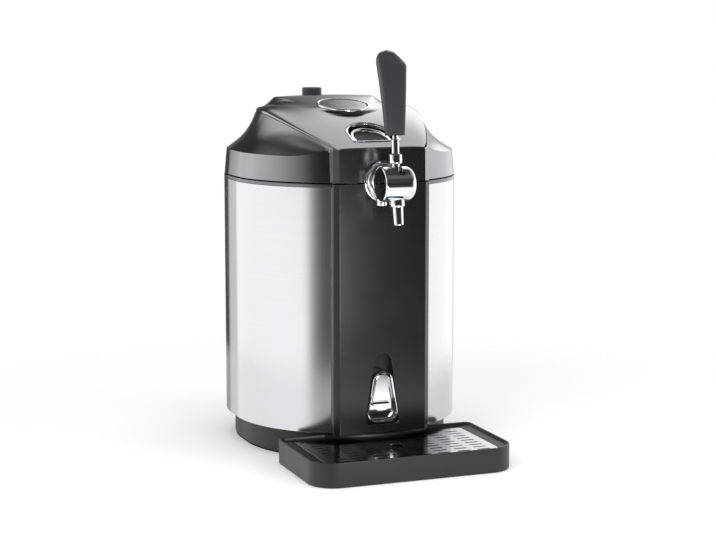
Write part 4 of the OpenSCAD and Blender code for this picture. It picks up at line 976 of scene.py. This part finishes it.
class DISPENSER_OT_knob(bpy.types.Operator):
    """Ribbed pressure knob behind the display"""
    bl_idname = "dispenser.knob"
    bl_label = "Pressure knob"

    def execute(self, context):
        y = settings().lid.knob_y
        ribs, r, outline = 40, 11.95, []
        for i in range(ribs):
            a = 360 * i / ribs
            outline += arc(0, 0, r, a - 2.3, a + 2.3, 3) + arc(0, 0, r - 0.8, a + 3.6, a + 5.4, 2)
        levels = ((0.93, 0), (0.955, 0.25), (1, 0.9), (1, 9.3), (0.955, 10.1), (0.9, 10.55), (0.84, 10.6),
                  (0.8, 10.2), (0.2, 10.1))
        bm = shape(stack, lambda share: [(px * share, py * share) for px, py in outline], levels,
                   at=shifted(0, y, hump_height(y) - 0.3 + 0.5))
        piece("knob_cap", bm, "knob", "knob", "regulator_knob")
        return {"FINISHED"}


# ---- Drip tray ----

def tray_plan(side, front, rear):
    """Outline of the tray, drawn in at its sides, front and rear, with its hollow rear edge."""
    t, h = settings().tray, settings().housing
    w, y = t.half - side, -t.front + front
    r = max(6.0, t.corner - max(side, front))
    back = -t.back - rear
    bow = h.radius + 0.14 - h.plinth_inset + 1.2 + rear
    reach = math.sqrt(bow * bow - (t.back + rear - h.shift) ** 2)
    start = math.degrees(math.acos(reach / bow))
    k = max(1.0, 8 - rear)
    return (arc(-w + k, back - k, k, 90, 180, 7) + arc(-w + r, y + r, r, 180, 270, 15)
            + arc(w - r, y + r, r, 270, 360, 15)
            + arc(w - k, back - k, k, 0, 90, 7) + arc(0, -h.shift, bow, -start, -180 + start, 41))


class DISPENSER_OT_tray(bpy.types.Operator):
    """Drip tray with a rounded rim, a sloped inner wall, a ledge and the seat of the grid"""
    bl_idname = "dispenser.tray"
    bl_label = "Drip tray"

    def execute(self, context):
        top, rail = settings().tray.height, 70
        mesh = shape(stack, lambda plan: tray_plan(*plan), (
            ((1.4, 1.4, 0.4), 0), ((0.5, 0.5, 0.15), 0.5), ((0, 0, 0), 1.6), ((0, 0, 0), top - 1.0),
            ((0.3, 0.3, 0.2), top - 0.3), ((0.9, 0.9, 0.7), top), ((1.8, 1.8, 1.4), top),
            ((2.4, 2.4, 1.9), top - 0.3),
            ((2.7, 2.7, 2.2), top - 0.9), ((4.6, 3.6, 2.6), top - 2.6), ((5.2, 4, 2.7), top - 2.9),
            ((15.2, 7.4, 3.2), top - 3.6), ((15.8, 7.8, 3.4), top - 3.9), ((16, 8, 3.5), top - 5),
            ((18.5, 10.5, 6), top - 5), ((18.5, 10.5, 6), 3.2), ((19.5, 11.5, 7), 2.4)))
        # each rail's groove, with a cover over it
        for x in (-rail, rail):
            mesh = carve(mesh, shape(block, (x - 7, -153.4, 1), (x + 7, -122, 17)), operation="UNION")
            mesh = carve(mesh, shape(block, (x - 4.6, -151, -2), (x + 4.6, -90, 14.6)))
        post = [(0, 1.5), (4, 1.5), (4, 22.2), (3.4, 22.98), (0, 22.98)]
        posts = [shape(turned, post, 24, at=shifted(x, y, 0)) for x, y in (
            (-84, -232), (0, -235), (84, -232), (-84, -160), (84, -160), (-42, -160), (42, -160))]
        piece("tray_moulding", carve(mesh, *posts, operation="UNION"), "tray", "tray", "drip_tray")
        return {"FINISHED"}


class DISPENSER_OT_grid(bpy.types.Operator):
    """Polished drip grid with rows of slots and a round drain"""
    bl_idname = "dispenser.grid"
    bl_label = "Drip grid"

    def execute(self, context):
        t = settings().tray
        z, drain_y = t.height - 4.95, -184
        plate = shape(stack, lambda g: tray_plan(16.5 + g, 8.5 + g, 4 + g),
                      ((0, z), (0, z + 1.0), (0.25, z + 1.45), (0.8, z + 1.6)))
        cuts = bmesh.new()
        for i in range(8):
            for j in range(9):
                x, y = (i - 3.5) * 24, -t.front + 16 + j * 11
                if math.hypot(x, y - drain_y) >= 17 or abs(y - drain_y) >= 10:
                    prism(cuts, slit(x, y, 6.5), z - 1, z + 4)
        drain = [(0, -1), (7, -1), (7, 1.1), (7.6, 1.75), (7.6, 4), (0, 4)]
        drain = shape(turned, drain, 40, at=shifted(0, drain_y, z))
        piece("grid_plate", carve(plate, cuts, drain), "grid", "grid", "drip_grid")
        return {"FINISHED"}


# ---- Rear ----

SCREWS = [(x, z) for x in (-50, 50) for z in (48, 284)]


class DISPENSER_OT_rear(bpy.types.Operator):
    """Rear cover with its vent slots, the mains socket and the cross-slotted screws"""
    bl_idname = "dispenser.rear"
    bl_label = "Rear cover"

    def execute(self, context):
        h, socket_z = settings().housing, 62
        y = h.rear_y
        bm = column_wall(y, h.plinth_top + 3.2, h.seam - 5)
        bmesh.ops.scale(bm, vec=(1, -1, 1), verts=bm.verts)
        soften(bm, 0.5, 2, 60, lambda p: p.z > h.seam - 6 or p.z < h.plinth_top + 4)
        vents = bmesh.new()
        for i in range(14):
            placed(vents, shifted(0, y + 6, 97.5 + 7 * i) @ TO_FRONT, prism, slit(0, 0, 36.5), 0, 14)
        socket = shape(block, (-14, y - 6, socket_z - 10.25), (14, y + 6, socket_z + 10.25))
        holes = [shape(turned, rod(2.2, -5, 5), 24, at=shifted(x, y, z) @ TO_FRONT) for x, z in SCREWS]
        piece("rear_moulding", carve(bm, vents, socket, *holes), "base", "housing", "rear_cover")
        self.socket(y, socket_z)
        self.screws(y)
        return {"FINISHED"}

    @staticmethod
    def socket(y, z):
        """Mains socket with a rounded flange, and its pins."""
        out = shifted(0, y, z) @ TO_REAR
        flange = rounded([(-16.9, -13.2), (16.9, -13.2), (16.9, 13.2), (-16.9, 13.2)], 3)
        bm = shape(prism, flange, 0.06, 1.55, at=out)
        soften(bm, 0.4, 2, 60)
        placed(bm, out, prism, [(-13.8, -10), (13.8, -10), (13.8, 10), (-13.8, 10)], -22, 0.5)
        well = rounded([(-11.5, -4.5), (-8, -7.5), (8, -7.5), (11.5, -4.5), (11.5, 7.5), (-11.5, 7.5)], 0.8, 4)
        mesh = carve(bm, shape(prism, well, -16, 5, at=out))
        piece("mains_socket", mesh, "base", "housing", "power_socket")
        pins = bmesh.new()
        for dx, dz in ((-7, -1), (0, 3), (7, -1)):
            block(pins, (dx - 1, y - 16.5, z + dz - 2), (dx + 1, y - 5, z + dz + 2))
        piece("socket_pins", pins, "brass", "housing")

    @staticmethod
    def screws(y):
        """Screws with crossed slots in their heads."""
        screws, across, upright = bmesh.new(), bmesh.new(), bmesh.new()
        screw = [(0, -9), (2, -9), (2, 0), (3.6, 0), (3.6, 0.8), (3.1, 1.6), (1.9, 2.1), (0, 2.2)]
        for x, z in SCREWS:
            placed(screws, shifted(x, y + 0.05, z) @ TO_REAR, turned, screw, 28)
            block(across, (x - 1.9, y + 1.4, z - 0.35), (x + 1.9, y + 4, z + 0.35))
            block(upright, (x - 0.35, y + 1.4, z - 1.9), (x + 0.35, y + 4, z + 1.9))
        piece("rear_screw_heads", carve(screws, across, upright), "screw", "housing", "rear_screws")


class DISPENSER_OT_chamber(bpy.types.Operator):
    """Drawn keg tub with a rolled lip and pressed rings, seen when the lid is open"""
    bl_idname = "dispenser.chamber"
    bl_label = "Keg tub"

    def execute(self, context):
        profile = [(0, 47.5), (84, 47.5), (88.2, 49.4), (89.5, 53), (89.5, 297.4), (97, 297.4), (97, 299),
                   (90.2, 299), (88.6, 298.3), (88, 296.8)]
        for z in (276, 228, 180, 132, 84):
            profile += [(88, z + 3), (87.3, z + 1.5), (87.1, z), (87.3, z - 1.5), (88, z - 3)]
        profile += [(88, 54), (86.8, 50.6), (83.4, 49), (30, 49), (28, 50.2), (0, 50.2)]
        piece("drawn_tub", shape(turned, profile, 96, at=shifted(0, -8, 0)), "aluminium", "housing", "keg_tub")
        return {"FINISHED"}


CARRIED = {
    "screw": "base_screws opener_screws hinge_pins latch_keeper shank_nut lid_screws regulator_spindle",
    "base": "chassis fan_frame fan_rotor hinge_brackets keg_coupler lid_hinge_arms tray_rails",
    "foam": "foam_jacket lid_foam", "liner": "tub_rim line_elbow lid_liner",
    "aluminium": "cold_plate heat_sink regulator_body", "ceramic": "peltier_module",
    "board": "control_board touch_board", "brass": "tap_plug", "rubber": "plug_seals lid_gasket",
    "hose": "beer_line",
}


class DISPENSER_OT_carried(bpy.types.Operator):
    """Finishes for the mechanism and the inner parts, whose shapes are the frame's own"""
    bl_idname = "dispenser.carried"
    bl_label = "Inner parts"

    def execute(self, context):
        for key, nodes in CARRIED.items():
            for node in nodes.split():
                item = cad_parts[node]
                if item.material_slots:
                    for slot in item.material_slots:
                        slot.material = finish(key)
                else:
                    item.data.materials.append(finish(key))
        return {"FINISHED"}


# ---- Studio ----

CAMERA_PLACE = (-0.74418, -1.98760, 0.50220)
CAMERA_YAW, CAMERA_PITCH = 21.15, 7.89
FOCAL_PX, FRAME_W, FRAME_H = 1785.0, 716, 540
CENTRE_PX = (358.0, 261.7)

# the surround's rings of light: sines of the elevations over which each one takes over from the one below it, and
# its levels from the rear, by way of the left, the front and the right, back to the rear
SURROUND = (
    (-1.0, -0.9, ((0.0, 1.1), (1.0, 1.1))),
    (-0.35, -0.22, ((0.0, 0.03), (0.04, 0.06), (0.055, 1.5), (0.335, 1.6), (0.362, 0.42), (0.385, 0.12),
                    (0.45, 0.03), (0.60, 0.05), (0.66, 0.35), (0.69, 1.6), (0.88, 1.6), (0.91, 0.4), (0.95, 0.12),
                    (1.0, 0.12))),
    (-0.08, 0.0, ((0.0, 0.06), (0.04, 0.1), (0.055, 1.2), (0.139, 1.6), (0.242, 1.1), (0.319, 0.43), (0.355, 0.08),
                  (0.392, 0.03), (0.60, 0.03), (0.66, 0.3), (0.70, 1.7), (0.84, 1.7), (0.9, 0.7), (1.0, 0.06))),
    (0.15, 0.26, ((0.0, 0.06), (0.042, 0.06), (0.069, 0.5), (0.111, 1.2), (0.144, 1.5), (0.194, 1.1), (0.25, 0.7),
                  (0.333, 0.3), (0.417, 0.05), (0.667, 0.05), (0.778, 0.8), (0.861, 1.2), (0.903, 2.2),
                  (0.928, 2.2), (0.942, 0.3), (0.958, 0.08), (1.0, 0.06))),
    (0.53, 0.62, ((0.0, 0.3), (0.042, 0.12), (0.083, 0.2), (0.139, 0.5), (0.194, 0.2), (0.333, 0.08), (0.5, 0.08),
                  (0.667, 0.15), (0.833, 0.35), (0.889, 0.9), (0.922, 1.25), (0.978, 1.35), (1.0, 0.3))),
    (0.79, 0.87, ((0.0, 0.05), (1.0, 0.05))),
)


class DISPENSER_OT_stage(bpy.types.Operator):
    """Pale floor, soft studio light and the camera at the photograph's place"""
    bl_idname = "dispenser.stage"
    bl_label = "Stage"

    def execute(self, context):
        scene = context.scene
        scene.view_settings.view_transform = "Standard"
        camera = bpy.data.objects.new("camera", bpy.data.cameras.new("camera"))
        camera.location = CAMERA_PLACE
        camera.rotation_euler = (math.radians(90 - CAMERA_PITCH), 0, math.radians(-CAMERA_YAW))
        camera.data.sensor_width = 36
        camera.data.lens = FOCAL_PX * 36 / FRAME_W
        camera.data.shift_x = (FRAME_W / 2 - CENTRE_PX[0]) / FRAME_W
        camera.data.shift_y = (CENTRE_PX[1] - FRAME_H / 2) / FRAME_W
        scene.collection.objects.link(camera)
        scene.camera = camera
        self.floor(scene)
        self.world(scene)
        for name, place, aim, size, power in (
                ("key", (-1.5, -1.1, 1.5), (0, 0, 0.2), (1.3, 1.3), 15),
                ("fill", (1.6, -1.0, 1.2), (0, 0, 0.2), (1.2, 1.2), 8),
                ("top", (0.1, 0.2, 2.2), (0, 0, 0.2), (1.5, 1.5), 16),
                ("window", (0.0, -0.62, 0.15), (-0.04, 0, 0.18), (0.17, 0.2), 0.9)):
            light = bpy.data.lights.new(name, "AREA")
            light.shape = "RECTANGLE"
            light.size, light.size_y = size
            light.energy = power
            lamp = bpy.data.objects.new(name, light)
            lamp.location = place
            lamp.rotation_euler = (Vector(aim) - Vector(place)).to_track_quat("-Z", "Y").to_euler()
            lamp.visible_glossy = name == "window"
            scene.collection.objects.link(lamp)
        return {"FINISHED"}

    @staticmethod
    def floor(scene):
        """Pale floor that keeps the part's shadow and fades out into the surround."""
        bm = bmesh.new()
        bmesh.ops.create_circle(bm, cap_ends=True, segments=96, radius=1.2)
        mesh = bpy.data.meshes.new("floor")
        bm.to_mesh(mesh)
        bm.free()
        floor = bpy.data.objects.new("floor", mesh)
        scene.collection.objects.link(floor)
        material, tree, place = finish_tree("Pale matt paper floor")
        paper = add_node(tree, "TexNoise", {"Vector": place, "Scale": 3.0})
        matt = add_node(tree, "BsdfDiffuse", {"Color": tinted(tree, paper, (0.86, 0.86, 0.86), 0.99, 1.01)})
        rays = add_node(tree, "LightPath").outputs
        seen = add_node(tree, "Math", {0: rays["Is Camera Ray"], 1: rays["Is Glossy Ray"]}, operation="MAXIMUM")
        seen = add_node(tree, "Math", {0: seen, 1: rays["Is Transmission Ray"]}, operation="MAXIMUM")
        glow = add_node(tree, "Math", {0: seen, 1: 0.22}, operation="MULTIPLY")
        light = add_node(tree, "Emission", {"Color": (1, 1, 1, 1), "Strength": glow})
        both = add_node(tree, "AddShader", {0: matt, 1: light})
        # past half a metre the paper thins out and the surround shows through
        away = add_node(tree, "VectorMath", {0: place}, operation="LENGTH")
        far = add_node(tree, "MapRange", {"Value": away.outputs["Value"], "From Min": 0.35, "From Max": 0.75},
                       interpolation_type="SMOOTHSTEP")
        clear = add_node(tree, "BsdfTransparent", {"Color": (1, 1, 1, 1)})
        across = add_node(tree, "SeparateXYZ", {0: place}).outputs["X"]
        # for mirrors it also thins out on the left, where the steel shows the dark side of the surround
        left = add_node(tree, "MapRange", {"Value": across, "From Min": 0.1, "From Max": -0.15, "To Max": 0.6})
        faint = add_node(tree, "Math", {0: rays["Is Glossy Ray"], 1: left}, operation="MULTIPLY")
        thin = add_node(tree, "Math", {0: far, 1: faint}, operation="MAXIMUM")
        whole = add_node(tree, "MixShader", {0: thin, 1: both, 2: clear})
        add_node(tree, "OutputMaterial", {"Surface": whole})
        material.cycles.emission_sampling = "NONE"
        mesh.materials.append(material)

    @staticmethod
    def world(scene):
        """White surround with a dark side towards the front, where the studio's unlit end is."""
        world = bpy.data.worlds.new("studio")
        scene.world = world
        world.use_nodes = True
        world.cycles.sampling_method = "NONE"
        tree = world.node_tree
        tree.nodes.clear()
        way = add_node(tree, "TexCoord").outputs["Generated"]
        parts = add_node(tree, "SeparateXYZ", {0: way}).outputs
        back = add_node(tree, "Math", {0: parts["Y"], 1: -1.0}, operation="MULTIPLY")
        round_ = add_node(tree, "Math", {0: parts["X"], 1: back}, operation="ARCTAN2")
        share = add_node(tree, "MapRange", {"Value": round_, "From Min": -math.pi, "From Max": math.pi})
        room = None
        for low, high, stops in SURROUND:
            ring = add_node(tree, "ValToRGB", {"Fac": share})
            while len(ring.color_ramp.elements) < len(stops):
                ring.color_ramp.elements.new(0.5)
            for element, (at, level) in zip(ring.color_ramp.elements, stops):
                element.position = at
                element.color = (level, level, level, 1)
            up = add_node(tree, "MapRange", {"Value": parts["Z"], "From Min": low, "From Max": high})
            mix = add_node(tree, "Mix", data_type="RGBA")
            tree.links.new(up.outputs["Result"], mix.inputs["Factor"])
            tree.links.new(ring.outputs["Color"] if room is None else room, mix.inputs["A"])
            tree.links.new(ring.outputs["Color"], mix.inputs["B"])
            room = mix.outputs["Result"]
        rays = add_node(tree, "LightPath").outputs
        seen = {0: rays["Is Glossy Ray"], 1: rays["Is Transmission Ray"]}
        shiny = add_node(tree, "Math", seen, operation="MAXIMUM")
        plain = add_node(tree, "Background", {"Color": (1, 1, 1, 1), "Strength": 0.45})
        mirror = add_node(tree, "Background", {"Color": room, "Strength": 1.0})
        white = add_node(tree, "Background", {"Color": (1, 1, 1, 1), "Strength": 1.0})
        lit = add_node(tree, "MixShader", {0: shiny, 1: plain, 2: mirror})
        seen = add_node(tree, "MixShader", {0: rays["Is Camera Ray"], 1: lit, 2: white})
        add_node(tree, "OutputWorld", {"Surface": seen})


class Dispenser(bpy.types.PropertyGroup):
    """All settings of the dispenser."""
    housing: PointerProperty(type=DispenserHousing, name="Housing", description="Sizes of the housing")
    lid: PointerProperty(type=DispenserLid, name="Lid", description="Sizes of the lid")
    tap: PointerProperty(type=DispenserTap, name="Tap", description="Sizes of the tap")
    tray: PointerProperty(type=DispenserTray, name="Tray", description="Sizes of the drip tray")
    colours: PointerProperty(type=DispenserColours, name="Colours", description="Colours of the finishes")


OPERATORS = (DISPENSER_OT_stage, DISPENSER_OT_skins, DISPENSER_OT_front, DISPENSER_OT_opener, DISPENSER_OT_tap,
             DISPENSER_OT_lever, DISPENSER_OT_lid_shell, DISPENSER_OT_lid_cover, DISPENSER_OT_display,
             DISPENSER_OT_latch, DISPENSER_OT_knob, DISPENSER_OT_tray, DISPENSER_OT_grid, DISPENSER_OT_rear,
             DISPENSER_OT_chamber, DISPENSER_OT_carried)


class DISPENSER_PT_panel(bpy.types.Panel):
    """Lists the pieces of the dispenser"""
    bl_idname = "DISPENSER_PT_panel"
    bl_label = "Beer dispenser"
    bl_space_type = "VIEW_3D"
    bl_region_type = "UI"
    bl_category = "Dispenser"

    def draw(self, context):
        for group in ("housing", "lid", "tap", "tray", "colours"):
            box = self.layout.box()
            box.label(text=group.capitalize())
            values = getattr(context.scene.dispenser, group)
            for name in values.__annotations__:
                box.prop(values, name)
        for operator in OPERATORS:
            self.layout.operator(operator.bl_idname)


CLASSES = (DispenserHousing, DispenserLid, DispenserTap, DispenserTray, DispenserColours, Dispenser, *OPERATORS,
           DISPENSER_PT_panel)


def register():
    """Adds the classes and the scene's settings."""
    for cls in CLASSES:
        bpy.utils.register_class(cls)
    bpy.types.Scene.dispenser = PointerProperty(type=Dispenser, name="Dispenser", description="Settings")


def unregister():
    """Takes the classes and the settings away."""
    del bpy.types.Scene.dispenser
    for cls in reversed(CLASSES):
        bpy.utils.unregister_class(cls)


def main():
    """Builds every piece in order."""
    register()
    for operator in OPERATORS:
        group, name = operator.bl_idname.split(".")
        getattr(getattr(bpy.ops, group), name)()


if __name__ == "__main__":
    main()
